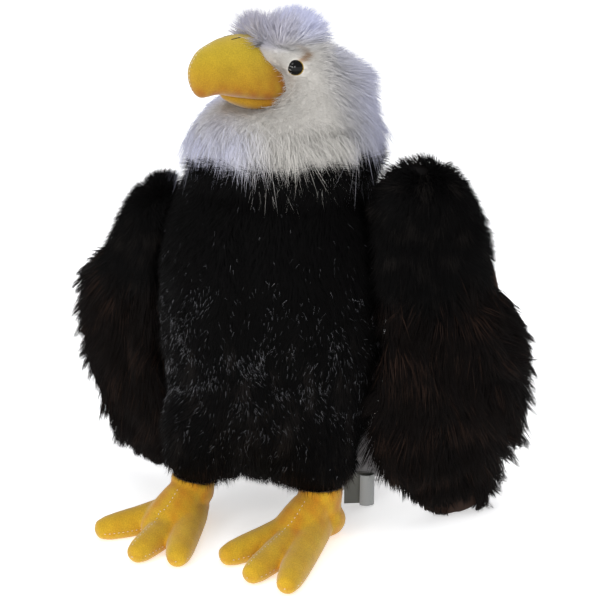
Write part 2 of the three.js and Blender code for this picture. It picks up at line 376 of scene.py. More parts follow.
def spikes(name, roots, lead, sag, radius, levels, soften=0.5, shade=None):
    """Tufts as one mesh: each is a closed three-sided spike whose centre line is
    c(s) = root + s·lead + s²·sag for s from 0 at the root to 1 at the tip, and whose section's
    radius is r·(1 - s²). The shading normals lean from the tuft's own to the skin's by
    `soften`, so that a coat shades as one soft surface. Each tuft has a shade from 0 to 1,
    random unless given. OFBake holds the unrolled skin: each tuft is a patch 0.003 across at
    its root's place on it.
    """
    count = roots.count
    s = np.array(levels)[None, :, None]
    centre = roots.places[:, None] + s * lead[:, None] + s**2 * sag[:, None]
    tangent = unit(lead[:, None] + 2 * s * sag[:, None])
    side = unit(np.cross(tangent, roots.normals[:, None] + 0.01 * UP))
    out = np.cross(side, tangent)
    turn = roots.rng.uniform(0, 2 * math.pi, (count, 1, 1, 1))
    turn = turn + np.array([0, 1, 2])[None, None, :, None] * 2 * math.pi / 3
    bulge = side[:, :, None] * np.cos(turn) + out[:, :, None] * np.sin(turn)
    radius = np.reshape(radius, (-1, 1, 1, 1))
    rings = centre[:, :-1, None] + bulge[:, :-1] * radius * (1 - s[:, :-1, :, None] ** 2)
    body = len(levels) - 1
    places = np.concatenate([rings.reshape(count, -1, 3), centre[:, -1:]], 1)
    places[..., 2] = np.maximum(places[..., 2], FLOOR_CLEARANCE)
    corners = [[0, 1, 2]]
    for ring in range(body - 1):
        for k in range(3):
            a, b = 3 * ring + k, 3 * ring + (k + 1) % 3
            corners += [[a, a + 3, b], [b, a + 3, b + 3]]
    tip = 3 * body
    corners += [[tip - 3 + k, tip, tip - 3 + (k + 1) % 3] for k in range(3)]
    pattern = np.array(corners)
    vertices = places.shape[1]
    every = (np.arange(count)[:, None, None] * vertices + pattern[None]).reshape(-1)
    piece = piece_of(name, places.reshape(-1, 3), every, np.full(count * len(pattern), 3))
    own = np.concatenate([bulge[:, :-1].reshape(count, -1, 3), tangent[:, -1:]], 1)
    shading = unit(own * (1 - soften) + roots.normals[:, None] * soften)
    piece.data.normals_split_custom_set_from_vertices(shading.reshape(-1, 3))
    along = np.concatenate([np.repeat(levels[:-1], 3), [1.0]])
    patch = np.stack([np.concatenate([np.tile([0.0, 0.5, 1.0], body), [0.5]]), along], -1)
    bake = 0.004 + 0.988 * roots.bake[:, None] + (patch[None] - 0.5) * 0.003
    layer = piece.data.uv_layers.new(name="OFBake")
    layer.data.foreach_set("uv", bake.reshape(-1, 2)[every].astype(np.float32).ravel())
    write(piece, along=np.tile(along, count))
    write(piece, shade=roots.rng.random(count) if shade is None else shade)
    return piece


# ---------------------------------------------------------------- colours and nodes


def linear(colour):
    """An sRGB hex colour as linear red, green, blue and alpha."""
    parts = [int(colour[k : k + 2], 16) / 255 for k in (1, 3, 5)]
    parts = [p / 12.92 if p <= 0.04045 else ((p + 0.055) / 1.055) ** 2.4 for p in parts]
    return (*parts, 1.0)


def node(tree, kind, settings=None, sockets=None):
    """Adds a shader node with its settings. Each socket, by name or number, takes a value or
    the output that feeds it."""
    made = tree.nodes.new(kind)
    for name, value in (settings or {}).items():
        setattr(made, name, value)
    for name, value in (sockets or {}).items():
        if isinstance(value, bpy.types.NodeSocket):
            tree.links.new(value, made.inputs[name])
        else:
            made.inputs[name].default_value = value
    return made


def finish(name, **values):
    """A new material with a Principled shader that has these plain values. Returns the
    material, its node tree and the shader."""
    material = bpy.data.materials.new(name)
    material.use_nodes = True
    tree = material.node_tree
    shader = tree.nodes["Principled BSDF"]
    for socket, value in values.items():
        shader.inputs[socket.replace("_", " ")].default_value = value
    return material, tree, shader


def dye(name, description, value):
    """A colour that a user can change, with its sRGB default."""
    return bpy.props.FloatVectorProperty(
        name=name, description=description, subtype="COLOR", size=4, default=linear(value)
    )


def pile_length(name, description, value):
    """A length that a user can change, with its default in metres."""
    return bpy.props.FloatProperty(
        name=name, description=description, unit="LENGTH", default=value
    )


class EagleColours(bpy.types.PropertyGroup):
    """The dyes and paints of the toy."""

    black_pile: dye("Black pile", "Dye of the body's pile", "#070606")
    brown_pile: dye("Brown pile", "Dye of the wings' long pile", "#0f0a08")
    red_pile: dye("Reddish pile", "Lightest strands of the wings' long pile", "#30221b")
    white_pile: dye("White pile", "Undyed pile of the hood and tail", "#e6e2db")
    # Painted cool light: a bluish tint for the cool light on the hood's crown and edges.
    lilac_pile: dye("Lilac pile", "Cool cast of the hood's pile on the crown and edges", "#d6d9fa")
    # The tan marks, which round the beak's base are partly painted shade.
    tan_paint: dye("Tan airbrush", "Airbrushed marks round the eyes and under the beak", "#8a6a48")
    yellow_velour: dye("Yellow velour", "Cloth of the beak", "#b59a22")
    # Painted light: a brighter copy of the beak's velour, for the light on the feet.
    foot_velour: dye("Foot velour", "Cloth of the feet, a brighter dye lot than the beak's", "#cba424")
    foot_paint: dye("Foot airbrush", "Shading on the feet's velour", "#c07a16")
    # The beak's orange: airbrush, and painted shade low on the beak.
    orange_paint: dye("Orange airbrush", "Shading on the beak's velour", "#9c620e")
    brown_velour: dye("Brown velour", "Cloth of the wing linings", "#553629")
    iris: dye("Iris", "Paint of the eyes' ring", "#c4a233")
    satin: dye("Label satin", "Cloth of the label", "#a8aaa9")


class EagleSizes(bpy.types.PropertyGroup):
    """The lengths of the pile."""

    body_pile: pile_length("Body pile", "Length of the pile on the body and shoulders", 14 * MM)
    fringe_pile: pile_length("Fringe pile", "Length of the long pile on the wings", 27 * MM)
    hood_pile: pile_length("Hood pile", "Length of the long pile on the head and neck", 26 * MM)
    face_pile: pile_length("Face pile", "Length of the clipped pile on the face", 4 * MM)
    tail_pile: pile_length("Tail pile", "Length of the pile on the tail", 13 * MM)


def colour(name):
    """One of the toy's colours, as the scene holds it."""
    return tuple(getattr(bpy.context.scene.eagle_colours, name))


def size(name):
    """One of the toy's sizes, as the scene holds it."""
    return getattr(bpy.context.scene.eagle_sizes, name)


# ---------------------------------------------------------------- materials

BLEND = {"data_type": "RGBA"}
TIMES = {"data_type": "RGBA", "blend_type": "MULTIPLY"}


def acrylic_pile(name, root, tip, light):
    """Knitted acrylic plush: dyed fibres, darker at the root as painted shade deep in the pile and
    paler towards the dyed tip, each tuft a shade of its own. `light` is the colour of the palest
    tufts."""
    material, tree, shader = finish(name, Roughness=0.6, Specular_IOR_Level=0.06)
    along = node(tree, "ShaderNodeAttribute", {"attribute_name": "along"}).outputs["Fac"]
    shade = node(tree, "ShaderNodeAttribute", {"attribute_name": "shade"}).outputs["Fac"]
    # Painted shade: the root colour is darker than the dye.
    grown = node(tree, "ShaderNodeMix", BLEND, {0: along, 6: root, 7: tip}).outputs[2]
    pale = node(
        tree,
        "ShaderNodeMapRange",
        {"interpolation_type": "SMOOTHSTEP"},
        {"Value": shade, "From Min": 0.72, "From Max": 1.0},
    ).outputs["Result"]
    tinted = node(tree, "ShaderNodeMix", BLEND, {0: pale, 6: grown, 7: light}).outputs[2]
    tree.links.new(tinted, shader.inputs["Base Color"])
    return material


def black_plush(name):
    """The body's black acrylic plush, whose palest tufts are painted sheen."""
    return acrylic_pile(name, linear("#020202"), colour("black_pile"), linear("#1c1917"))


def brown_plush(name):
    """The wings' dark brown acrylic plush, with reddish tufts."""
    return acrylic_pile(name, linear("#030202"), colour("brown_pile"), colour("red_pile"))


def silver_tips(name):
    """Painted glints: pale grey fibres scattered in the black plush, whose colour stands in for the
    highlights that shiny black fibres catch."""
    material, tree, shader = finish(name, Roughness=0.3, Specular_IOR_Level=0.6)
    shade = node(tree, "ShaderNodeAttribute", {"attribute_name": "shade"}).outputs["Fac"]
    ends = {0: shade, 6: linear("#2c2c30"), 7: linear("#9a9aa0")}
    ramp = node(tree, "ShaderNodeMix", BLEND, ends).outputs[2]
    tree.links.new(ramp, shader.inputs["Base Color"])
    return material


def white_plush(name):
    """The hood's undyed acrylic plush: soft matt fibres, warm white in the middle of the face and
    throat, with painted cool light towards the edges, painted shade at the roots and in darker tufts,
    and tan marks."""
    material, tree, shader = finish(
        name, Roughness=0.75, Specular_IOR_Level=0.25, Sheen_Weight=0.25, Sheen_Roughness=0.6
    )
    lilac, shade, along, tan = (
        node(tree, "ShaderNodeAttribute", {"attribute_name": number}).outputs["Fac"]
        for number in ("lilac", "shade", "along", "tan")
    )
    # Painted cool light: a bluish tint mixed in where the cool light falls.
    ends = {0: lilac, 6: colour("white_pile"), 7: colour("lilac_pile")}
    varied = node(tree, "ShaderNodeMix", BLEND, ends).outputs[2]
    # Painted shade: darker roots stand in for the shade deep in the pile, and each tuft's shade
    # darkens it, partly at random and partly as painted light and shade.
    for number, darkest in ((shade, 0.66), (along, 0.78)):
        span = {"Value": number, "To Min": darkest, "To Max": 1.02}
        level = node(tree, "ShaderNodeMapRange", {}, span).outputs["Result"]
        varied = node(tree, "ShaderNodeMix", TIMES, {0: 1.0, 6: varied, 7: level}).outputs[2]
    ends = {0: tan, 6: varied, 7: colour("tan_paint")}
    painted = node(tree, "ShaderNodeMix", BLEND, ends).outputs[2]
    tree.links.new(painted, shader.inputs["Base Color"])
    return material


def short_nap(tree, shader, spacing, height):
    """Velour's nap as bump: clumps of fibre about `spacing` across and `height` high, drawn
    coarser than the real nap so that it shows."""
    place = node(tree, "ShaderNodeTexCoord").outputs["Object"]
    grain = {"Vector": place, "Scale": 1 / spacing, "Detail": 3.0, "Roughness": 0.6}
    clumps = node(tree, "ShaderNodeTexNoise", {}, grain).outputs["Fac"]
    relief = {"Height": clumps, "Strength": 0.6, "Distance": height}
    bump = node(tree, "ShaderNodeBump", {}, relief).outputs["Normal"]
    tree.links.new(bump, shader.inputs["Normal"])
    return place, clumps


def velour_cloth(name, dyed, paint):
    """Warp-knit yellow velour: a dense matt nap with a sheen at grazing angles, speckled where the
    fibres part, and orange in its creases and low down, which is airbrush and, on the beak, painted
    shade as well."""
    material, tree, shader = finish(
        name, Roughness=0.85, Specular_IOR_Level=0.2, Sheen_Weight=0.35, Sheen_Roughness=0.45
    )
    place, clumps = short_nap(tree, shader, 0.8 * MM, 0.3 * MM)
    orange = node(tree, "ShaderNodeAttribute", {"attribute_name": "orange"}).outputs["Fac"]
    varied = node(tree, "ShaderNodeMix", BLEND, {0: orange, 6: dyed, 7: paint}).outputs[2]
    grain = {"Vector": place, "Scale": 90.0, "Detail": 4.0}
    brushed = node(tree, "ShaderNodeTexNoise", {}, grain).outputs["Fac"]
    for noise, half, darkest, palest in ((brushed, 0.2, 0.9, 1.05), (clumps, 0.15, 0.82, 1.08)):
        span = {
            "Value": noise,
            "From Min": 0.5 - half,
            "From Max": 0.5 + half,
            "To Min": darkest,
            "To Max": palest,
        }
        level = node(tree, "ShaderNodeMapRange", {}, span).outputs["Result"]
        varied = node(tree, "ShaderNodeMix", TIMES, {0: 1.0, 6: varied, 7: level}).outputs[2]
    tree.links.new(varied, shader.inputs["Base Color"])
    return material


def beak_velour(name):
    """The beak's yellow velour."""
    return velour_cloth(name, colour("yellow_velour"), colour("orange_paint"))


def foot_velour(name):
    """The feet's yellow velour: a brighter copy of the beak's, which is painted light."""
    return velour_cloth(name, colour("foot_velour"), colour("foot_paint"))


def brown_velour(name):
    """Warp-knit brown velour of the wing linings: a soft nap with a warm sheen, mottled where
    it has been stroked one way or the other."""
    material, tree, shader = finish(
        name, Roughness=0.8, Specular_IOR_Level=0.25, Sheen_Weight=0.5, Sheen_Roughness=0.4
    )
    place, _ = short_nap(tree, shader, 1.0 * MM, 0.3 * MM)
    grain = {"Vector": place, "Scale": 60.0, "Detail": 3.0}
    stroked = node(tree, "ShaderNodeTexNoise", {}, grain).outputs["Fac"]
    ends = {0: stroked, 6: linear("#3a241b"), 7: colour("brown_velour")}
    ramp = node(tree, "ShaderNodeMix", BLEND, ends).outputs[2]
    tree.links.new(ramp, shader.inputs["Base Color"])
    return material


def polished_eye(name):
    """Moulded acetate eye: a black pupil in a gold painted ring with a dark rim, under a
    polished clear coat."""
    material, tree, shader = finish(
        name, Roughness=0.5, Specular_IOR_Level=0.0, Coat_Weight=0.7, Coat_IOR=1.38
    )
    rim = node(tree, "ShaderNodeAttribute", {"attribute_name": "rim"}).outputs["Fac"]
    ramp = node(tree, "ShaderNodeValToRGB", {}, {"Fac": rim})
    stops = [
        (0.0, linear("#030303")),
        (0.8, linear("#030303")),
        (0.83, linear("#4a3a12")),
        (0.87, colour("iris")),
        (0.93, linear("#8f7226")),
        (0.965, linear("#0c0a05")),
    ]
    elements = ramp.color_ramp.elements
    for element, (position, value) in zip(elements, (stops[0], stops[-1])):
        element.position, element.color = position, value
    for position, value in stops[1:-1]:
        elements.new(position).color = value
    tree.links.new(ramp.outputs["Color"], shader.inputs["Base Color"])
    return material


def cotton_thread(name, value):
    """Twisted polyester thread: a slight painted sheen along the twist, 0.4 mm."""
    material, tree, shader = finish(name, Roughness=0.5, Specular_IOR_Level=0.4)
    place = node(tree, "ShaderNodeTexCoord").outputs["Object"]
    bands = {"bands_direction": "DIAGONAL"}
    twist = node(tree, "ShaderNodeTexWave", bands, {"Vector": place, "Scale": 900.0})
    dull = tuple(0.6 * part for part in value[:3]) + (1.0,)
    ends = {0: twist.outputs["Fac"], 6: dull, 7: value}
    ramp = node(tree, "ShaderNodeMix", BLEND, ends).outputs[2]
    tree.links.new(ramp, shader.inputs["Base Color"])
    return material


def white_thread(name):
    """White topstitching thread."""
    return cotton_thread(name, linear("#e8e2cf"))


def dark_thread(name):
    """Dark embroidery thread."""
    return cotton_thread(name, linear("#2a2a1c"))


def woven_satin(name):
    """Woven polyester satin ribbon: fine warp lines 0.3 mm apart with a silky sheen. It is painted
    darker up to the fold, as painted shade under the body, and shows its paler face past it."""
    material, tree, shader = finish(
        name, Roughness=0.4, Specular_IOR_Level=0.5, Sheen_Weight=0.3, Sheen_Roughness=0.3
    )
    weave = node(tree, "ShaderNodeUVMap", {"uv_map": "weave"}).outputs[0]
    bands = {"bands_direction": "Y"}
    lines = node(tree, "ShaderNodeTexWave", bands, {"Vector": weave, "Scale": 40.0})
    lines = lines.outputs["Fac"]
    ends = {0: lines, 6: linear("#888a89"), 7: colour("satin")}
    face = node(tree, "ShaderNodeMix", BLEND, ends).outputs[2]
    turned = node(tree, "ShaderNodeAttribute", {"attribute_name": "turned"}).outputs["Fac"]
    # Painted shade: darker grey up to the fold, under the body.
    ends = {0: turned, 6: linear("#5f615b"), 7: face}
    faced = node(tree, "ShaderNodeMix", BLEND, ends).outputs[2]
    tree.links.new(faced, shader.inputs["Base Color"])
    relief = {"Height": lines, "Strength": 0.4, "Distance": 0.05 * MM}
    bump = node(tree, "ShaderNodeBump", {}, relief).outputs["Normal"]
    tree.links.new(bump, shader.inputs["Normal"])
    return material


# ---------------------------------------------------------------- the head's own frame

EYE = {side: middle("eye_" + side) for side in SIDES}
BETWEEN_EYES = (EYE["left"] + EYE["right"]) / 2
HEAD_LEFT = unit(EYE["left"] - EYE["right"])
HEAD_BACK = np.cross(UP, HEAD_LEFT)
HEAD_AXES = np.stack([HEAD_LEFT, HEAD_BACK, UP])
BEAK_BASE = np.array([0, -10, -12]) * MM


def in_head(places):
    """Places measured from midway between the eyes: to the head's left, to its back and up."""
    return (places - BETWEEN_EYES) @ HEAD_AXES.T


def from_head(points):
    """The row frame's places of points given in the head's own frame."""
    return np.asarray(points, float) @ HEAD_AXES + BETWEEN_EYES


def mirrored(points):
    """Head places folded onto the head's left side."""
    return np.concatenate([np.abs(points[..., :1]), points[..., 1:]], -1)


def clipped(head):
    """How far the pile is from its clipped length on the face, 0, to its full length, 1. The
    face ends sharply at a brow that rises towards the beak, and softly behind the eyes and
    under the beak. Over the beak the pile is long down to the middle of the forehead."""
    brow = 11 * MM + 0.25 * np.maximum(-head[..., 1], 0)
    middle_of_brow = ease(-np.abs(head[..., 0]), -17 * MM, -7 * MM)
    above = ease(head[..., 2] - brow + 8 * MM * middle_of_brow, -3 * MM, 7 * MM)
    behind = ease(head[..., 1], 6 * MM, 42 * MM)
    below = ease(-head[..., 2], 25 * MM, 54 * MM)
    return np.maximum.reduce([above, behind, below])


def crest(head):
    """How far the pile stands up, as it does on the forehead."""
    return ease(head[..., 2], 8 * MM, 22 * MM) * ease(-head[..., 1], -40 * MM, 0)


def beside_beak(places):
    """How near a place is to the beak, from 0 at 16 mm to 1 at 3 mm."""
    beak = np.unique(triangles_of("beak_upper", "beak_lower").reshape(-1, 3), axis=0)
    return 1 - ease(apart_from(places, beak), 3 * MM, 16 * MM)


def clear_of_eyes(places):
    """0 behind an eye, rising to 1 at 9 mm from its middle."""
    apart = [np.linalg.norm(places - place, axis=-1) for place in EYE.values()]
    return ease(np.minimum(*apart), 6 * MM, 9 * MM)


def hem(places):
    """The level that the hood's dense pile grows down to, which tilts to the toy's right."""
    tilt = 0.08 * np.clip(places[..., 0] - 10 * MM, -80 * MM, 20 * MM)
    return 271 * MM + tilt + 3 * MM * drift(places, 26 * MM, 22)


def tan_marks(places):
    """Tan marks: a streak behind and above each eye and a spot in front of it, and a ring round the
    beak's base that is a warm tint and painted shade over the mound there."""
    head = in_head(places)
    flat = head * np.array([0, 1, 1])
    streak = from_line(flat, np.array([0, 1.5, 4.5]) * MM, np.array([0, 5, 8]) * MM)
    spot = np.linalg.norm(flat - np.array([0, -8, -4]) * MM, axis=-1)
    tint_and_shade_ring = ease(-np.abs(np.linalg.norm(head - BEAK_BASE, axis=-1) - 26 * MM), -9 * MM, 0)
    marks = 0.9 * np.exp(-((streak / (2.1 * MM)) ** 2))
    marks = np.maximum(marks, 0.6 * np.exp(-((spot / (2.4 * MM)) ** 2)))
    marks = marks * ease(np.abs(head[..., 0]), 16 * MM, 21 * MM)
    return np.maximum(marks, 0.27 * tint_and_shade_ring)


def lilac_cast(places):
    """Painted cool light: a bluish tint that stands in for cool light on the crown and nape, and on
    the ruff's front and right edges.
    """
    head = in_head(places)
    crown = ease(head[..., 2], 8 * MM, 18 * MM)
    nape = ease(head[..., 1], 8 * MM, 55 * MM)
    right = ease(-head[..., 0], 5 * MM, 45 * MM)
    front = 0.9 * ease(-head[..., 1], 26 * MM, 56 * MM)
    return np.maximum.reduce([crown, nape, right, front])


# ---------------------------------------------------------------- velour and stitches


def swollen(triangles, amount):
    """A closed solid's triangles welded at their corners and pushed out along the corners'
    normals, as places and faces."""
    flat = triangles.reshape(-1, 3)
    _, first, same = np.unique(
        np.round(flat / (0.01 * MM)), axis=0, return_index=True, return_inverse=True
    )
    places, faces = flat[first], same.reshape(-1, 3)
    across = triangles[:, 1] - triangles[:, 0]
    normal = np.cross(across, triangles[:, 2] - triangles[:, 0])
    total = np.zeros_like(places)
    for k in range(3):
        np.add.at(total, faces[:, k], normal)
    return places + unit(total) * amount, faces


def remeshed(name, nodes, swell, passes):
    """One closed skin round several CAD solids: swollen until they overlap, remeshed in voxels
    of one size and smoothed by passes that move each vertex 0.6 of the way to the mean of its
    neighbours. The swelling makes up for what the smoothing takes off."""
    places, faces, offset = [], [], 0
    for node_name in nodes:
        place, face = swollen(triangles_of(node_name), swell)
        places.append(place)
        faces.append(face + offset)
        offset += len(place)
    rough = piece_of(
        name, np.vstack(places), np.vstack(faces).ravel(), np.full(sum(map(len, faces)), 3)
    )
    modifier = rough.modifiers.new("skin", "REMESH")
    modifier.mode = "VOXEL"
    modifier.voxel_size = VOXEL
    made = bpy.data.meshes.new_from_object(
        rough.evaluated_get(bpy.context.evaluated_depsgraph_get())
    )
    rough.modifiers.clear()
    rough.data = made
    made.name = name
    edges = np.empty(len(made.edges) * 2, np.int32)
    made.edges.foreach_get("vertices", edges)
    one, other = edges.reshape(-1, 2).T
    place = np.empty(len(made.vertices) * 3, np.float32)
    made.vertices.foreach_get("co", place)
    place = place.reshape(-1, 3).astype(float)
    uses = np.bincount(edges, minlength=len(place))[:, None]
    for _ in range(passes):
        total = np.zeros_like(place)
        for k in range(3):
            total[:, k] = np.bincount(one, place[other, k], len(place))
            total[:, k] += np.bincount(other, place[one, k], len(place))
        place = place + 0.6 * (total / uses - place)
    made.vertices.foreach_set("co", place.astype(np.float32).ravel())
    made.update()
    made.shade_smooth()
    return rough, place


def struck(piece, starts, rays, most):
    """Where rays from inside a skin meet it, and its normals there, for those of the rays that
    go no further than `most`."""
    places, normals = [], []
    for start, ray in zip(starts, rays):
        hit, place, normal, _ = piece.ray_cast(mathutils.Vector(start), mathutils.Vector(ray))
        if hit and np.linalg.norm(np.array(place) - start) < most:
            places.append(place)
            normals.append(normal)
    return np.array(places).reshape(-1, 3), np.array(normals).reshape(-1, 3)


def velour(name, nodes, swell, passes, orange, make):
    """A stuffed velour piece: one skin round its solids, with its orange, which is airbrush and, on
    the beak, painted shade as well.
    """
    piece, places = remeshed(name, nodes, swell, passes)
    places[:, 2] = np.maximum(places[:, 2], SOLE_CLEARANCE)
    piece.data.vertices.foreach_set("co", places.astype(np.float32).ravel())
    piece.data.update()
    dress(piece, make, "yellow_velour", *nodes)
    write(piece, orange=orange(places))
    bpy.context.view_layer.update()
    return piece


def beads(name, places, along, out, length, radius):
    """Stitches as one mesh: each is a spindle of six sides, (1 - t²)^(1/2) thick, that lies
    along its seam."""
    count = len(places)
    t = np.array([-0.94, -0.5, 0.5, 0.94])[None, :, None, None]
    along, out = unit(along), unit(out)
    side = np.cross(along, out)
    turn = np.arange(6)[None, None, :, None] * math.pi / 3
    ring = out[:, None, None] * np.cos(turn) + side[:, None, None] * np.sin(turn)
    body = places[:, None, None] + along[:, None, None] * t * length / 2
    body = body + ring * radius * np.sqrt(1 - t**2)
    tips = places[:, None] + along[:, None] * np.array([-0.5, 0.5])[None, :, None] * length
    vertices = np.concatenate([body.reshape(count, -1, 3), tips], 1)
    corners, sizes = [], []
    for row in range(3):
        for k in range(6):
            a, b = 6 * row + k, 6 * row + (k + 1) % 6
            corners += [a, a + 6, b + 6, b]
            sizes.append(4)
    for k in range(6):
        corners += [24, k, (k + 1) % 6, 25, 18 + (k + 1) % 6, 18 + k]
        sizes += [3, 3]
    pattern = np.array(corners)
    every = (np.arange(count)[:, None] * vertices.shape[1] + pattern).ravel()
    return piece_of(name, vertices.reshape(-1, 3), every, np.tile(sizes, count))


def evenly(points, spacing):
    """Places `spacing` apart along a line of points, with the line's direction at each."""
    steps = np.linalg.norm(np.diff(points, axis=0), axis=1)
    run = np.concatenate([[0], np.cumsum(steps)])
    at = np.arange(spacing / 2, run[-1], spacing)
    way = sampled(points, run, at + spacing / 4) - sampled(points, run, at - spacing / 4)
    return sampled(points, run, at), unit(way)


# ---------------------------------------------------------------- operators


# Each ankle's place on the floor in mm, and each toe's heading from the front in degrees with
# its reach from the ankle in mm.
ANKLE = {"left": (52.6, -25.9), "right": (-35.4, -47.9)}
TOES = {"left": ((-29, 83), (-8, 89), (10, 92)), "right": ((-42, 72), (-5, 74), (19, 71))}


def over_leg(places):
    """How near a place on the body is to the top of a leg, from 0 to 1."""
    apart = [np.linalg.norm(places[..., :2] - np.array(at) * MM, axis=-1) for at in ANKLE.values()]
    near = ease(-np.minimum(*apart), -34 * MM, -22 * MM)
    return near * ease(-places[..., 2], -60 * MM, -44 * MM)


class EAGLE_OT_body(bpy.types.Operator):
    """Sews the black plush body and grows its pile."""

    bl_idname = "eagle.body"
    bl_label = "Body"

    def execute(self, context):
        """Casts the body on the trunk, deeper under the hood, and grows pile that hangs."""
        heart, base = middle("trunk"), box("trunk")[0][2]
        line = [[heart[0], 0, base + 62 * MM], [heart[0], 4 * MM, base + 184 * MM]]
        solid = triangles_of("trunk", "collar")
        outer, starts = cast(solid, line, FRONT, rings=120, sides=128, caps=0.32, passes=9)
        hidden = ease(outer.places[..., 2] - hem(outer.places), -12 * MM, 8 * MM)
        pile = size("body_pile")
        depth = 0.5 * pile * (1 - 0.6 * over_leg(outer.places)) + 15 * MM * hidden
        skin = outer.drawn_in(starts, depth)
        cloth = dress(skin.piece("body_skin"), black_plush, "black_pile", "trunk")
        # Painted shade: the skin under the pile takes the roots' darker colour.
        write(cloth, along=0.2, shade=0)

        def showing(centre, _):
            """1 below the hood's hem, 0 above it."""
            return 1 - ease(centre[..., 2] - hem(centre), -10 * MM, 0)

        for number in range(2):
            roots = Roots(skin, 41500, 11 + number, showing)
            swirl = roots.wander(0.5, 55 * MM, 3, 0.2)
            out = unit(roots.places - heart) * np.array([0.5, 0.5, 0])
            lift = 0.52 + roots.wander(0.12, 25 * MM, 4, 0.12)
            lead = laid(-UP + out, roots.normals, lift, swirl)
            edge = ease(-roots.places[:, 2], -62 * MM, -40 * MM)[:, None]
            lead = unit(lead + 0.75 * edge * (-UP + 0.3 * out - lead))
            length = pile * roots.rng.uniform(0.75, 1.1, roots.count)
            short = over_leg(roots.places) * roots.rng.uniform(0.3, 0.8, roots.count)
            lead = lead * (length * (1 - short))[:, None]
            lead = lead + locked(roots, lead, 7 * MM, 0.15)
            # Mottled clumps of paler tufts: painted sheen.
            shade = mottled(roots, 14 * MM, 17)
            # Painted shade: the pile is darker towards the top of the trunk, under the hood.
            shade = shade * (1 - 0.4 * ease(roots.places[:, 2], 120 * MM, 200 * MM))
            name = f"body_pile_{number + 1}"
            coat = spikes(name, roots, lead, 0 * lead, 0.3 * MM, [0, 1], shade=shade)
            dress(coat, black_plush, "black_pile")
        self.cuffs(skin)
        self.silver(skin)
        return {"FINISHED"}

    def cuffs(self, skin):
        """Pile that hangs over the tops of the legs."""
        roots = Roots(skin, 3200, 16, lambda centre, _: over_leg(centre))
        out = roots.normals * np.array([1, 1, 0])
        roots.places = roots.places + out * 1 * MM
        lead = -UP + 0.2 * out + roots.rng.normal(0, 0.2, roots.places.shape)
        lead = unit(lead) * roots.rng.triangular(4, 8, 16, (roots.count, 1)) * MM
        lead = lead + locked(roots, lead, 6 * MM, 0.45)
        shade = roots.rng.random(roots.count)
        coat = spikes("leg_cuff_pile", roots, lead, 0 * lead, 0.22 * MM, [0, 1], shade=shade)
        dress(coat, brown_plush, "black_pile")

    def silver(self, skin):
        """Scatters painted glints, pale fibres that stand in for highlights, over the belly, thickest
        low on its front.
        """

        def belly(centre, normal):
            """Where the painted glints go: most on the front and low down, in patches."""
            front = ease(-normal[..., 1], -0.5, 0.9)
            patches = 0.15 + ease(drift(centre, 16 * MM, 16), -0.3, 0.9)
            low = np.exp(-(((centre[..., 2] - 125 * MM) / (45 * MM)) ** 2))
            return front * low * patches + 0.01

        roots = Roots(skin, 1900, 15, belly)
        roots.places = roots.places + roots.normals * 0.38 * size("body_pile")
        swirl = roots.wander(0.5, 45 * MM, 3, 0.35)
        lead = laid(-UP, roots.normals, 0.35, swirl)
        lead = lead * roots.rng.triangular(1, 2.5, 6, (roots.count, 1)) * MM
        coat = spikes("body_silver_tips", roots, lead, 0 * lead, 0.06 * MM, [0, 1])
        dress(coat, silver_tips, "black_pile")


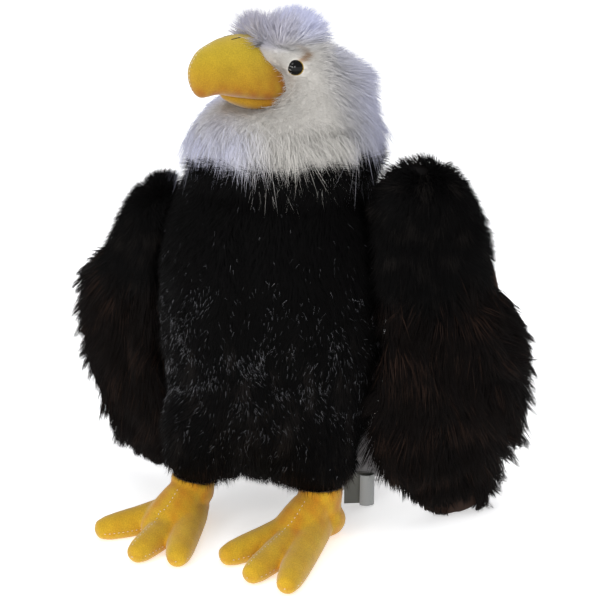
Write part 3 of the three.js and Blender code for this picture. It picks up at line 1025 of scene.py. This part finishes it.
class EAGLE_OT_hood(bpy.types.Operator):
    """Sews the white hood over head and neck, and grows its pile."""

    bl_idname = "eagle.hood"
    bl_label = "Hood"

    def execute(self, context):
        """Casts the hood on head, collar and eyes, shallow round the face."""
        cloth_behind_beak = [
            ball(from_head(np.array([0, 10, -11]) * MM), 24 * MM).triangles(),
            ball(from_head(np.array([0, -7, 1]) * MM), 17 * MM).triangles(),
        ]
        solid = triangles_of("head", "collar", "eye_left", "eye_right")
        solid = np.concatenate([solid, *cloth_behind_beak])
        low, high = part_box("collar")[0][2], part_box("head")[1][2]
        neck = middle("collar")
        line = [[neck[0], neck[1], low + 30 * MM], [*from_head([0, 6 * MM, 0])[:2], high - 36 * MM]]
        outer, starts = cast(solid, line, FRONT, rings=130, sides=128, caps=0.32, passes=9)
        head = in_head(outer.places)
        beside = beside_beak(outer.places)
        beside = beside * (1 - 0.75 * ease(head[..., 2], 2 * MM, 14 * MM))
        front = ease(-head[..., 1], -8 * MM, 34 * MM) * ease(head[..., 2], 6 * MM, 20 * MM)
        back = ease(head[..., 1], 22 * MM, 45 * MM) * ease(head[..., 2], -14 * MM, 4 * MM)
        ruff_back = ease(head[..., 1], 32 * MM, 60 * MM) * ease(-head[..., 2], 20 * MM, 45 * MM)
        depth = 2 + 9.8 * clipped(head) * (1 - 0.6 * front) + 4 * crest(head) * (1 - front)
        depth = depth + 7 * back + 2.5 * ruff_back
        cheek = ease(head[..., 2], -22 * MM, -10 * MM)
        depth = depth * (1 - 0.7 * beside) - (3.6 * cheek - 0.6) * beside
        depth = depth + 10 * ease(hem(outer.places) - outer.places[..., 2], -6 * MM, 8 * MM)
        skin = outer.drawn_in(starts, depth * MM)
        cloth = dress(skin.piece("hood_skin"), white_plush, "white_pile", "head", "collar")
        # The skin's tan marks and painted cool light.
        write(cloth, tan=tan_marks(skin.vertices()), lilac=lilac_cast(skin.vertices()))
        # Painted shade: the skin under the pile is darker, like the tufts' roots.
        write(cloth, shade=0.6, along=0.5)
        for number in range(3):
            self.coat(skin, f"hood_pile_{number + 1}", 15500, 21 + number)
        self.face(skin)
        self.wisps(skin)
        self.strands(skin)
        return {"FINISHED"}

    def flow(self, roots):
        """The lie of the hood's pile: away from the beak's base, and on the brow away from a
        place between beak and eye, and down more and more with the distance from the beak."""
        head = in_head(roots.places)
        side = np.clip(head[:, 0] / (16 * MM), -1, 1)
        upper = ease(head[:, 2], -12 * MM, 8 * MM)[:, None]
        shift = side[:, None] * np.array([14, 0, 0]) * MM + np.array([0, 6, 17]) * MM
        away = unit(head - BEAK_BASE - upper * shift) @ HEAD_AXES
        apart = np.linalg.norm(head - BEAK_BASE, axis=-1)
        fall = ease(apart, 45 * MM, 95 * MM) * (1 - 0.6 * ease(head[:, 2], 5 * MM, 25 * MM))
        return away - 1.1 * fall[:, None] * UP

    def coat(self, skin, name, count, seed):
        """One share of the long pile."""

        def long_part(centre, _):
            """Most where the pile isn't clipped, and none below the hem."""
            above = ease(centre[..., 2] - hem(centre), -6 * MM, 3 * MM)
            return (0.1 + clipped(in_head(centre))) * above * clear_of_eyes(centre)

        roots = Roots(skin, count, seed, long_part)
        head = in_head(roots.places)
        full = clipped(head)
        standing = crest(head)
        length = size("face_pile") + (size("hood_pile") - size("face_pile")) * full
        length = length * roots.rng.uniform(0.65, 1.1, roots.count)
        edge = 1 - ease(roots.places[:, 2] - hem(roots.places), 0, 18 * MM)
        beside = beside_beak(roots.places)
        short = standing * (0.6 * ease(head[:, 1], -20 * MM, 14 * MM) - 0.14)
        length = length * (1 - 0.3 * edge) * (1 - 0.15 * beside) * (1 - short)
        nape = ease(head[:, 1], 15 * MM, 35 * MM) * ease(head[:, 2], -45 * MM, -20 * MM)
        throat = ease(-head[:, 1], 26 * MM, 48 * MM)
        lift = 0.42 + 0.1 * nape - 0.15 * throat + roots.wander(0.06, 22 * MM, 5, 0.14)
        swirl = roots.wander(0.25, 30 * MM, 6, 0.24)
        side = np.clip(head[:, :1] / (16 * MM), -1, 1)
        away = unit(head - np.array([12, 0, 0]) * side * MM - np.array([0, -2, -18]) * MM)
        away = away @ HEAD_AXES + roots.rng.normal(0, 0.27, head.shape)
        lead = laid(self.flow(roots), roots.normals, lift, swirl)
        lead = unit(lead + 0.9 * standing[:, None] * (away - lead)) * length[:, None]
        fall = 0.2 * length * ease(-head[:, 2], 0, 50 * MM)
        sag = -UP * fall[:, None] + locked(roots, lead, 6 * MM, 0.25 * full)
        radius = (0.17 + 0.07 * full) * MM
        # Painted shade and light: the ruff's tufts are darker and the standing crest's paler, for how
        # the light falls on them.
        ruff = ease(-head[:, 2], 10 * MM, 45 * MM) * (1 - nape)
        shade = roots.rng.random(roots.count) * (1 - 0.4 * ruff) + 0.3 * (1 - ruff)
        shade = np.minimum(shade + 0.3 * standing, 1)
        coat = spikes(name, roots, lead, sag, radius, [0, 0.5, 1], 0.75, shade)
        self.mark(coat, roots)

    def face(self, skin):
        """The clipped pile between the beak and the eyes."""

        def short_part(centre, _):
            """Most where the pile is clipped."""
            return (1 - clipped(in_head(centre))) ** 2 * clear_of_eyes(centre)

        roots = Roots(skin, 17000, 24, short_part)
        length = size("face_pile") * roots.rng.uniform(0.7, 1.2, roots.count)
        swirl = roots.wander(0.4, 15 * MM, 7, 0.35)
        lead = laid(self.flow(roots), roots.normals, 0.6, swirl) * length[:, None]
        # Pale shades: painted light on the clipped face.
        shade = roots.rng.uniform(0.6, 1, roots.count)
        coat = spikes("face_pile", roots, lead, 0 * lead, 0.17 * MM, [0, 1], 0.6, shade)
        self.mark(coat, roots)

    def wisps(self, skin):
        """A few longer hairs over the corner of the mouth."""

        def corner(centre, _):
            """A bell round each corner of the mouth."""
            spot = mirrored(in_head(centre)) - np.array([23, -3, -19]) * MM
            return np.exp(-((np.linalg.norm(spot, axis=-1) / (9 * MM)) ** 2))

        roots = Roots(skin, 700, 26, corner)
        swirl = roots.rng.normal(0, 0.5, roots.count)
        lead = laid(-HEAD_BACK - 0.4 * UP, roots.normals, 0.6, swirl)
        lead = lead * roots.rng.uniform(6, 14, (roots.count, 1)) * MM
        coat = spikes("face_wisps", roots, lead, -0.2 * lead, 0.15 * MM, [0, 0.5, 1], 0.75)
        self.mark(coat, roots)

    def strands(self, skin):
        """Single long hairs that hang from the hem over the black pile."""

        def lowest(centre, _):
            """A band along the hem."""
            above = centre[..., 2] - hem(centre)
            return ease(above, -10 * MM, -2 * MM) * (1 - ease(above, 4 * MM, 14 * MM))

        roots = Roots(skin, 8500, 25, lowest)
        raised = roots.rng.uniform(3, 9, (roots.count, 1)) * MM
        roots.places = roots.places + roots.normals * raised
        length = roots.rng.triangular(9, 14, 30, roots.count) * MM
        length = length * (1 + 0.3 * drift(roots.places, 20 * MM, 23))
        swirl = roots.wander(0.5, 18 * MM, 14, 0.32)
        lift = 0.32 + roots.rng.normal(0, 0.1, roots.count)
        flow = self.flow(roots) - 0.7 * UP
        lead = laid(flow, roots.normals, lift, swirl) * length[:, None]
        sag = -UP * 0.22 * length[:, None] + locked(roots, lead, 5 * MM, 0.4)
        shade = roots.rng.uniform(0.3, 1, roots.count)
        levels = [0, 0.4, 0.75, 1]
        coat = spikes("hood_hem_strands", roots, lead, sag, 0.11 * MM, levels, 0.75, shade)
        self.mark(coat, roots)

    def mark(self, coat, roots):
        """Gives a coat the skin's tan marks and painted cool light, read at each tuft's root."""
        write(coat, tan=tan_marks(roots.places), lilac=lilac_cast(roots.places))
        dress(coat, white_plush, "white_pile")


class EAGLE_OT_beak(bpy.types.Operator):
    """Makes the stuffed velour beak, its ridge stitches and its nostrils."""

    bl_idname = "eagle.beak"
    bl_label = "Beak"

    def execute(self, context):
        """Each half of the beak is a skin round its solid."""
        halves = (("upper", 1.3, 34, self.upper_orange), ("lower", 1.1, 12, self.lower_orange))
        upper, _ = (
            velour(f"beak_{half}_velour", [f"beak_{half}"], swell * MM, passes, orange, beak_velour)
            for half, swell, passes, orange in halves
        )
        self.ridge(upper)
        self.nostrils(upper)
        return {"FINISHED"}

    def upper_orange(self, places):
        """Orange round the base and along the mouth line, and on the lower flanks: airbrush, and
        painted shade that darkens the beak low down.
        """
        head = mirrored(in_head(places))
        mouth = ease(-head[..., 2], 2 * MM, 19 * MM)
        base = ease(head[..., 1], -22 * MM, -6 * MM)
        low_flank_shade = 0.42 * ease(-head[..., 2], -12 * MM, 6 * MM)
        return low_flank_shade + 0.58 * np.maximum(mouth, base) * (0.8 + 0.25 * drift(places, 10 * MM, 8))

    def lower_orange(self, places):
        """Orange all over, strongest at the corner of the mouth."""
        return 0.6 + 0.3 * ease(in_head(places)[..., 1], -30 * MM, -8 * MM)

    def ridge(self, upper):
        """White stitches down the middle of the beak's front."""
        angle = np.radians(np.linspace(62, -48, 60))[:, None]
        ray = -HEAD_BACK * np.cos(angle) + UP * np.sin(angle)
        start = np.broadcast_to(from_head([0, -36 * MM, -4 * MM]), ray.shape)
        seam, _ = struck(upper, start, ray, 60 * MM)
        places, along = evenly(seam, 2.8 * MM)
        out = unit(places - start[0])
        stitches = beads("beak_stitches", places, along, out, 1.4 * MM, 0.26 * MM)
        dress(stitches, white_thread, "thread")

    def nostrils(self, upper):
        """A dark stitched dash on each side of the beak's top."""
        for side, sign in SIDES.items():
            spots = np.array([[sign * 5.2, y, 0] for y in np.linspace(-34, -27, 16)]) * MM
            start = from_head(spots)
            seam, _ = struck(upper, start, np.broadcast_to(UP, start.shape), 60 * MM)
            places, along = evenly(seam - UP * 0.1 * MM, 2.3 * MM)
            out = np.broadcast_to(UP, places.shape)
            thread = beads(f"nostril_thread_{side}", places, along, out, 2.8 * MM, 0.5 * MM)
            dress(thread, dark_thread, "thread", f"nostril_{side}")


class EAGLE_OT_eyes(bpy.types.Operator):
    """Sets the two plastic eyes."""

    bl_idname = "eagle.eyes"
    bl_label = "Eyes"

    def execute(self, context):
        """Each eye is a dome on a flat back: radius r·sin t and height r·cos t from its pole."""
        for side, sign in SIDES.items():
            low, high = box(f"eye_{side}")
            radius = (high - low)[2] / 2
            axis = unit(np.array([sign * 0.84, -0.68, -0.06]) @ HEAD_AXES)
            across = unit(np.cross(UP, axis))
            above = np.cross(axis, across)
            polar = np.radians(np.linspace(172, 3, 48))[:, None, None]
            turn = np.linspace(0, 2 * math.pi, 64, endpoint=False)[None, :, None]
            ring = across * np.cos(turn) + above * np.sin(turn)
            height = np.where(np.cos(polar) > 0, 0.88, 0.3) * np.cos(polar)
            places = EYE[side] + radius * (ring * np.sin(polar) + axis * height)
            dome = Shell(places).piece(f"eye_{side}_dome")
            dress(dome, polished_eye, "eye_plastic", f"eye_{side}")
            rim = np.where(np.cos(polar) > 0, np.sin(polar), 1.0) + 0 * turn
            write(dome, rim=np.concatenate([rim.ravel(), [1.0, 0.0]]))
        return {"FINISHED"}


# How far each wing is swept back, in degrees.
WING_SWEEP = {"left": 48, "right": 14}


class EAGLE_OT_wings(bpy.types.Operator):
    """Sews the two wings, plush outside and velour inside, and grows their pile."""

    bl_idname = "eagle.wings"
    bl_label = "Wings"

    def execute(self, context):
        """Makes each wing in turn."""
        for side in SIDES:
            self.plush(side)
            self.lining(side)
        return {"FINISHED"}

    def axes(self, side):
        """Outwards along the wing, and out of its lined back."""
        sign, sweep = SIDES[side], math.radians(WING_SWEEP[side])
        out = np.array([sign * math.cos(sweep), math.sin(sweep), 0])
        back = np.array([-sign * math.sin(sweep), math.cos(sweep), 0])
        return out, back

    def plush(self, side):
        """The outer cloth, cast on shoulder and fringe together, and its pile."""
        out, back = self.axes(side)
        shoulder, fringe = f"wing_{side}_shoulder", f"wing_{side}_fringe"
        solid = triangles_of(shoulder, fringe)
        high, low = (triangles_of(node).mean((0, 1)) for node in (shoulder, fringe))
        line = [high + 0.1 * (high - low), low + 0.35 * (low - high)]
        outer, starts = cast(solid, line, back, 130, 96, (1, 0.35), caps=0.3, passes=5)
        ray = unit(outer.places - starts)
        depth = 0.62 * size("body_pile") * (1 - 0.85 * ease(ray @ back, 0.2, 0.8))
        crown = outer.places[..., 2].max()
        top = ease(outer.places[..., 2], crown - 45 * MM, crown - 10 * MM)
        inner = ease(-(ray @ out), 0.2, 0.8)
        depth = depth * (1 - 0.45 * top) * (1 - 0.5 * top * inner)
        skin = outer.drawn_in(starts, depth * ease(outer.places[..., 2], 4 * MM, 34 * MM))
        cloth = skin.piece(f"wing_{side}_skin")
        dress(cloth, brown_plush, "brown_pile", shoulder, fringe)
        bare = {"left": 27 * MM, "right": -10 * MM}[side]
        lowest = solid[solid[..., 2] < solid[..., 2].min() + 4 * MM].mean(0) @ out

        def shown(place):
            """1 inside a parabola over the fringe's lowest edge, where the cloth is bare."""
            level = bare * (1 - ((place @ out - lowest) / (14 * MM)) ** 2)
            return ease(level - place[..., 2], -3 * MM, 2 * MM)

        write(cloth, along=0.2, shade=shown(skin.vertices()))
        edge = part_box(fringe)[1][2] - 8 * MM
        centre = (outer.places @ out).mean()

        def not_lined(normal):
            """1, and little on the wing's lined back."""
            return 1 - 0.95 * ease((normal * back).sum(-1), 0.35, 0.75)

        def above(place):
            """1 above the uneven line where the long pile begins, 0 below it."""
            wobble = 12 * MM * drift(place, 60 * MM, 20)
            return ease(place[..., 2] - edge - wobble, -24 * MM, 8 * MM)

        def on_shoulder(place, normal):
            """The outer cloth above the line."""
            return not_lined(normal) * above(place)

        def on_fringe(place, normal):
            """The outer cloth below the line, without the bare part."""
            return not_lined(normal) * (1 - above(place)) * (1 - shown(place))

        roots = Roots(skin, 13500, 31, on_shoulder)
        self.shoulder_pile(side, roots, out, self.flare(roots, out, centre), crown)
        roots = Roots(skin, 15500, 32, on_fringe)
        self.fringe_pile(side, roots, out, self.flare(roots, out, centre))

    def flare(self, roots, out, centre):
        """How far each root is from the wing's middle towards its outer edge, in widths."""
        return (roots.places @ out - centre) / (60 * MM)

    def shoulder_pile(self, side, roots, out, flare, crown):
        """The shoulder's pile, which falls to both sides and stands up along the top."""
        top = ease(roots.places[:, 2], crown - 45 * MM, crown - 10 * MM)
        flare = np.clip(flare * (1 + 3 * top), -0.3 - top, 1.1)
        flow = -UP * (1 - 0.4 * top[:, None]) + flare[:, None] * out
        swirl = roots.wander(0.35, 40 * MM, 9, 0.2)
        lift = 0.58 + 0.4 * ease(roots.places[:, 2], crown - 32 * MM, crown - 8 * MM)
        lift = lift + roots.rng.normal(0, 0.14, roots.count)
        length = size("body_pile") * (1 - 0.25 * top)
        length = length * roots.rng.uniform(0.7, 1.15, roots.count)
        lead = laid(flow, roots.normals, lift, swirl) * length[:, None]
        lead = lead + locked(roots, lead, 7 * MM, 0.15)
        # Mottled clumps of paler tufts: painted sheen.
        name, shade = f"wing_{side}_shoulder_pile", mottled(roots, 14 * MM, 18)
        coat = spikes(name, roots, lead, 0 * lead, 0.3 * MM, [0, 1], shade=shade)
        dress(coat, black_plush, "black_pile")

    def fringe_pile(self, side, roots, out, flare):
        """The fringe's long pile, which hangs in locks, shorter towards the wing's tip."""
        inward = 0.25 * ease(roots.places[:, 2], 55 * MM, 85 * MM)
        flow = -UP + np.clip(flare, -inward, 1.1)[:, None] * out
        swirl = roots.wander(0.5, 30 * MM, 12, 0.2)
        lead = laid(flow, roots.normals, 0.4 + roots.wander(0.1, 28 * MM, 10, 0.1), swirl)
        short = 0.45 * ease(-roots.places[:, 2], -75 * MM, -25 * MM) * ease(-flare, -0.8, 0)
        short = short + 0.35 * ease(-roots.places[:, 2], -34 * MM, -14 * MM)
        length = size("fringe_pile") * (1 - short) * roots.rng.uniform(0.6, 1.1, roots.count)
        lead = lead * length[:, None]
        pull = 0.5 + 0.3 * ease(flare, 0.2, 0.9)
        sag = -UP * 0.15 * length[:, None] + locked(roots, lead, 10 * MM, pull)
        name, shade = f"wing_{side}_fringe_pile", 0.92 * mottled(roots, 16 * MM, 19)
        coat = spikes(name, roots, lead, sag, 0.36 * MM, [0, 0.5, 1], shade=shade)
        dress(coat, brown_plush, "brown_pile")

    def lining(self, side):
        """The velour inside of the wing."""
        _, back = self.axes(side)
        solid = triangles_of(f"wing_{side}_lining")
        low, high = solid.min((0, 1)), solid.max((0, 1))
        heart = solid.mean((0, 1))
        tall = np.array([0, 0, 0.3 * (high - low)[2]])
        shell, _ = cast(solid, [heart + tall, heart - tall], back, 80, 96, (1, 0.15), caps=0.35)
        cloth = shell.piece(f"wing_{side}_lining_velour")
        dress(cloth, brown_velour, "brown_velour", f"wing_{side}_lining")


class EAGLE_OT_tail(bpy.types.Operator):
    """Sews the white plush tail and grows its pile."""

    bl_idname = "eagle.tail"
    bl_label = "Tail"

    def execute(self, context):
        """Casts the tail on its solid, shallow underneath, with pile brushed backwards."""
        solid = triangles_of("tail")
        low, high = solid.min((0, 1)), solid.max((0, 1))
        heart = (low + high) / 2
        line = [
            [heart[0], low[1] + 32 * MM, 0.45 * high[2]],
            [heart[0] - 4 * MM, high[1] - 24 * MM, 0.24 * high[2]],
        ]
        outer, starts = cast(solid, line, UP, 90, 96, (1, 0.4), caps=0.3)
        below = ease(-(unit(outer.places - starts))[..., 2], 0.2, 0.8)
        pile = size("tail_pile")
        skin = outer.drawn_in(starts, 0.5 * pile * (1 - 0.85 * below))
        cloth = dress(skin.piece("tail_skin"), white_plush, "white_pile", "tail")
        # Painted shade: the tail's skin is at its darkest, with some painted cool light, for the shade
        # between the body and the wings.
        write(cloth, tan=0, lilac=0.2, shade=0, along=0)

        def upper_side(_, normal):
            """1 on the tail's top and sides, and little underneath."""
            return 0.06 + ease(normal[..., 2], -0.5, 0.2)

        roots = Roots(skin, 15000, 41, upper_side)
        flow = -FRONT + 0.5 * (roots.places - heart) / (60 * MM) * np.array([1, 0, 0])
        swirl = roots.wander(0.3, 30 * MM, 13, 0.16)
        length = pile * roots.rng.uniform(0.7, 1.15, roots.count)
        lead = laid(flow, roots.normals, 0.42, swirl) * length[:, None]
        lead = lead + locked(roots, lead, 8 * MM, 0.35)
        # Painted shade: the tail's tufts are kept dark, for the shade between the body and the wings.
        shade = roots.rng.uniform(0, 0.3, roots.count)
        coat = spikes("tail_pile", roots, lead, 0 * lead, 0.28 * MM, [0, 1], 0.7, shade)
        write(coat, tan=0, lilac=0.2)
        dress(coat, white_plush, "white_pile")
        return {"FINISHED"}


class EAGLE_OT_feet(bpy.types.Operator):
    """Makes the two stuffed velour feet with their legs."""

    bl_idname = "eagle.feet"
    bl_label = "Feet"

    def execute(self, context):
        """Each foot and leg is one skin round their solids."""
        for side in SIDES:
            nodes, orange = [f"leg_{side}", f"foot_{side}"], partial(self.orange, side)
            piece = velour(f"foot_{side}_velour", nodes, 0.75 * MM, 8, orange, foot_velour)
            self.stitches(side, piece)
        return {"FINISHED"}

    def toe(self, side, number, share):
        """A toe's line: the place at each share of its reach from the ankle, and its way."""
        angle, far = TOES[side][number]
        way = np.array([math.sin(math.radians(angle)), -math.cos(math.radians(angle)), 0])
        share = np.asarray(share, float)[..., None]
        height = UP * np.interp(share, [0, 0.45, 1], [13.5, 8.5, 6.8])
        return (np.array([*ANKLE[side], 0]) + way * share * far + height) * MM, way

    def orange(self, side, places):
        """Airbrushed orange: on the instep, in the webs, where two toes are equally near, and
        along the seams."""
        share = np.linspace(0.15, 0.95, 40)
        near = [apart_from(places, self.toe(side, number, share)[0]) for number in range(3)]
        near = np.sort(near, 0)
        web = np.exp(-(((near[1] - near[0]) / (4 * MM)) ** 2)) * ease(near[0], 5 * MM, 10 * MM)
        ankle = np.array([*ANKLE[side], 0]) * MM
        instep = 1 - ease(np.linalg.norm((places - ankle)[:, :2], axis=1), 15 * MM, 70 * MM)
        seam = np.exp(-(((places[:, 2] - SOLE_SEAM) / (1.2 * MM)) ** 2))
        patch = 0.8 + 0.3 * drift(places, 14 * MM, 21)
        return np.clip((0.2 + 0.15 * instep + 0.4 * web + 0.2 * seam) * patch, 0, 1)

    def stitches(self, side, piece):
        """White stitches along the toes' sides, at their tips, and down the instep."""
        seams = []
        for number in range(3):
            starts, way = self.toe(side, number, np.linspace(0.5, 0.93, 11))
            starts[:, 2] = SOLE_SEAM
            for turn in (1, -1):
                across = np.cross(UP, way) * turn + np.array([0, 0, 0.02])
                found = struck(piece, starts, np.tile(unit(across), (11, 1)), 12 * MM)
                seams.append((*found, np.tile(way, (len(found[0]), 1))))
            tip = struck(piece, starts[-1:], way[None], 30 * MM)
            seams.append((*tip, np.cross(UP, way)[None]))
        share = np.linspace(0, 0.95, 26)
        starts, way = self.toe(side, 1, share)
        starts[:, 2] = np.interp(share, [0, 0.3, 1], [33, 12, 7]) * MM
        lean = ease(share, 0.1, 0.6)[:, None]
        up = UP * (0.15 + lean) + way * (1 - 0.9 * lean) - np.cross(UP, way) * 0.45 * lean
        hits, facing = struck(piece, starts, unit(up), 40 * MM)
        found, along = evenly(hits, 3.4 * MM)
        nearest = np.linalg.norm(found[:, None] - hits, axis=-1).argmin(1)
        seams.append((found, facing[nearest], along))
        places, out, along = (np.concatenate([seam[k] for seam in seams]) for k in range(3))
        along = along - out * dot(along, out)
        thread = beads(f"foot_{side}_stitches", places, along, out, 1.3 * MM, 0.28 * MM)
        dress(thread, white_thread, "thread")


# The label's width and length when flat.
LABEL = (24 * MM, 34 * MM)


class EAGLE_OT_label(bpy.types.Operator):
    """Sews in the bare satin label."""

    bl_idname = "eagle.label"
    bl_label = "Label"

    def execute(self, context):
        """A ribbon that leaves its seam flat and folds back at its free end: its line's
        heading turns by 3.8 radians past the middle of its length."""
        low, high = box("care_label")
        run = np.linspace(0, 1, 60)
        curled = 2.2 * ease(run, 0.56, 0.72) + 1.6 * np.maximum(run - 0.64, 0) / 0.36
        heading = math.radians(29) - curled
        step = np.stack([np.cos(heading), np.sin(heading), 0 * heading], -1) * LABEL[1] / 59
        line = np.cumsum(step, 0) + np.array([low[0], low[1] + 1.5 * MM, 0])
        rise = np.linspace(low[2], high[2], 40)
        grid = np.repeat(line[:, None], len(rise), 1)
        grid[..., 2] = rise
        across, up = np.meshgrid(run, np.linspace(0, 1, len(rise)), indexing="ij")
        rows, columns = across.shape
        row, column = np.mgrid[0 : rows - 1, 0 : columns - 1]
        first = row * columns + column
        corners = np.stack([first, first + columns, first + columns + 1, first + 1], -1)
        fours = np.full(first.size, 4)
        ribbon = piece_of("care_ribbon", grid.reshape(-1, 3), corners.ravel(), fours)
        weave = np.stack([across * 1.4, up], -1).reshape(-1, 2)[corners.ravel()]
        layer = ribbon.data.uv_layers.new(name="weave")
        layer.data.foreach_set("uv", weave.astype(np.float32).ravel())
        thick = ribbon.modifiers.new("cloth", "SOLIDIFY")
        thick.thickness = 0.3 * MM
        # Painted shade on the ribbon up to the fold.
        write(ribbon, turned=ease(across, 0.58, 0.7))
        dress(ribbon, woven_satin, "label_satin", "care_label")
        return {"FINISHED"}


TARGET = np.array([21.2, 8.4, 156]) * MM
# The camera's azimuth and elevation, in degrees.
VIEW_ANGLES = (25, 20)
VIEW_DISTANCE = 1.1
LENS = 95.65


def softbox(name, place, target, size, power):
    """A square area light at a place, turned towards a target."""
    lamp = bpy.data.lights.new(name, "AREA")
    lamp.size = size
    lamp.energy = power
    light = bpy.data.objects.new(name, lamp)
    aim(light, place, target)
    bpy.context.scene.collection.objects.link(light)


def aim(thing, place, target):
    """Puts an object at a place, with its -Z axis towards the target."""
    way = mathutils.Vector(np.array(target) - np.array(place))
    thing.location = place
    thing.rotation_euler = way.to_track_quat("-Z", "Y").to_euler()


class EAGLE_OT_stage(bpy.types.Operator):
    """Sets the floor, the lights and the camera."""

    bl_idname = "eagle.stage"
    bl_label = "Stage"

    def execute(self, context):
        """A pale floor, soft light from above and in front with a small lamp for the glint in
        the eyes, and the camera."""
        scene = context.scene
        scene.view_settings.view_transform = "Standard"
        world = bpy.data.worlds.new("studio")
        scene.world = world
        world.use_nodes = True
        background = world.node_tree.nodes["Background"]
        background.inputs["Color"].default_value = linear("#f6f7fa")
        background.inputs["Strength"].default_value = 0.66
        corners = 6.0 * np.array([[-1, -1, 0], [1, -1, 0], [1, 1, 0], [-1, 1, 0]])
        floor = piece_of("floor", corners, np.arange(4), [4])
        paper, _, shader = finish("lit paper", Roughness=0.9, Specular_IOR_Level=0.1)
        shader.inputs["Base Color"].default_value = linear("#fbfbfb")
        shader.inputs["Emission Color"].default_value = linear("#fbfbfb")
        shader.inputs["Emission Strength"].default_value = 0.5
        floor.data.materials.append(paper)
        centre = np.array([0, 0, 0.16])
        softbox("key", centre + np.array([-0.8, -2.0, 1.35]), centre, 0.85, 11)
        softbox("top", centre + np.array([0.2, 0.2, 1.7]), centre, 1.6, 14)
        softbox("glint", centre + np.array([-0.5, -1.5, 0.2]), centre, 0.1, 2)
        softbox("fill", centre + np.array([0.4, -1.9, 0.1]), centre, 0.5, 8.5)
        camera = bpy.data.cameras.new("camera")
        camera.lens = LENS
        azimuth, elevation = (math.radians(angle) for angle in VIEW_ANGLES)
        level = np.array([math.sin(azimuth), -math.cos(azimuth), 0])
        back = level * math.cos(elevation) + UP * math.sin(elevation)
        view = bpy.data.objects.new("camera", camera)
        aim(view, TARGET + back * VIEW_DISTANCE, TARGET)
        scene.collection.objects.link(view)
        scene.camera = view
        return {"FINISHED"}


PARTS = (
    EAGLE_OT_stage,
    EAGLE_OT_body,
    EAGLE_OT_hood,
    EAGLE_OT_beak,
    EAGLE_OT_eyes,
    EAGLE_OT_wings,
    EAGLE_OT_tail,
    EAGLE_OT_feet,
    EAGLE_OT_label,
)


class EAGLE_PT_parts(bpy.types.Panel):
    """Lists the toy's parts, sizes and colours."""

    bl_label = "Stuffed bald eagle"
    bl_space_type = "VIEW_3D"
    bl_region_type = "UI"
    bl_category = "Eagle"

    def draw(self, context):
        """One button for each part, then each size and colour."""
        for part in PARTS:
            self.layout.operator(part.bl_idname)
        for group in (context.scene.eagle_sizes, context.scene.eagle_colours):
            for name in group.__annotations__:
                self.layout.prop(group, name)


CLASSES = (EagleColours, EagleSizes, *PARTS, EAGLE_PT_parts)


def register():
    """Makes the classes and the scene's settings known to Blender."""
    for each in CLASSES:
        bpy.utils.register_class(each)
    bpy.types.Scene.eagle_colours = bpy.props.PointerProperty(type=EagleColours)
    bpy.types.Scene.eagle_sizes = bpy.props.PointerProperty(type=EagleSizes)


def unregister():
    """Takes them away again."""
    del bpy.types.Scene.eagle_sizes
    del bpy.types.Scene.eagle_colours
    for each in reversed(CLASSES):
        bpy.utils.unregister_class(each)


def main():
    """Builds every part in order."""
    register()
    bpy.ops.eagle.stage()
    bpy.ops.eagle.body()
    bpy.ops.eagle.hood()
    bpy.ops.eagle.beak()
    bpy.ops.eagle.eyes()
    bpy.ops.eagle.wings()
    bpy.ops.eagle.tail()
    bpy.ops.eagle.feet()
    bpy.ops.eagle.label()


if __name__ == "__main__":
    main()
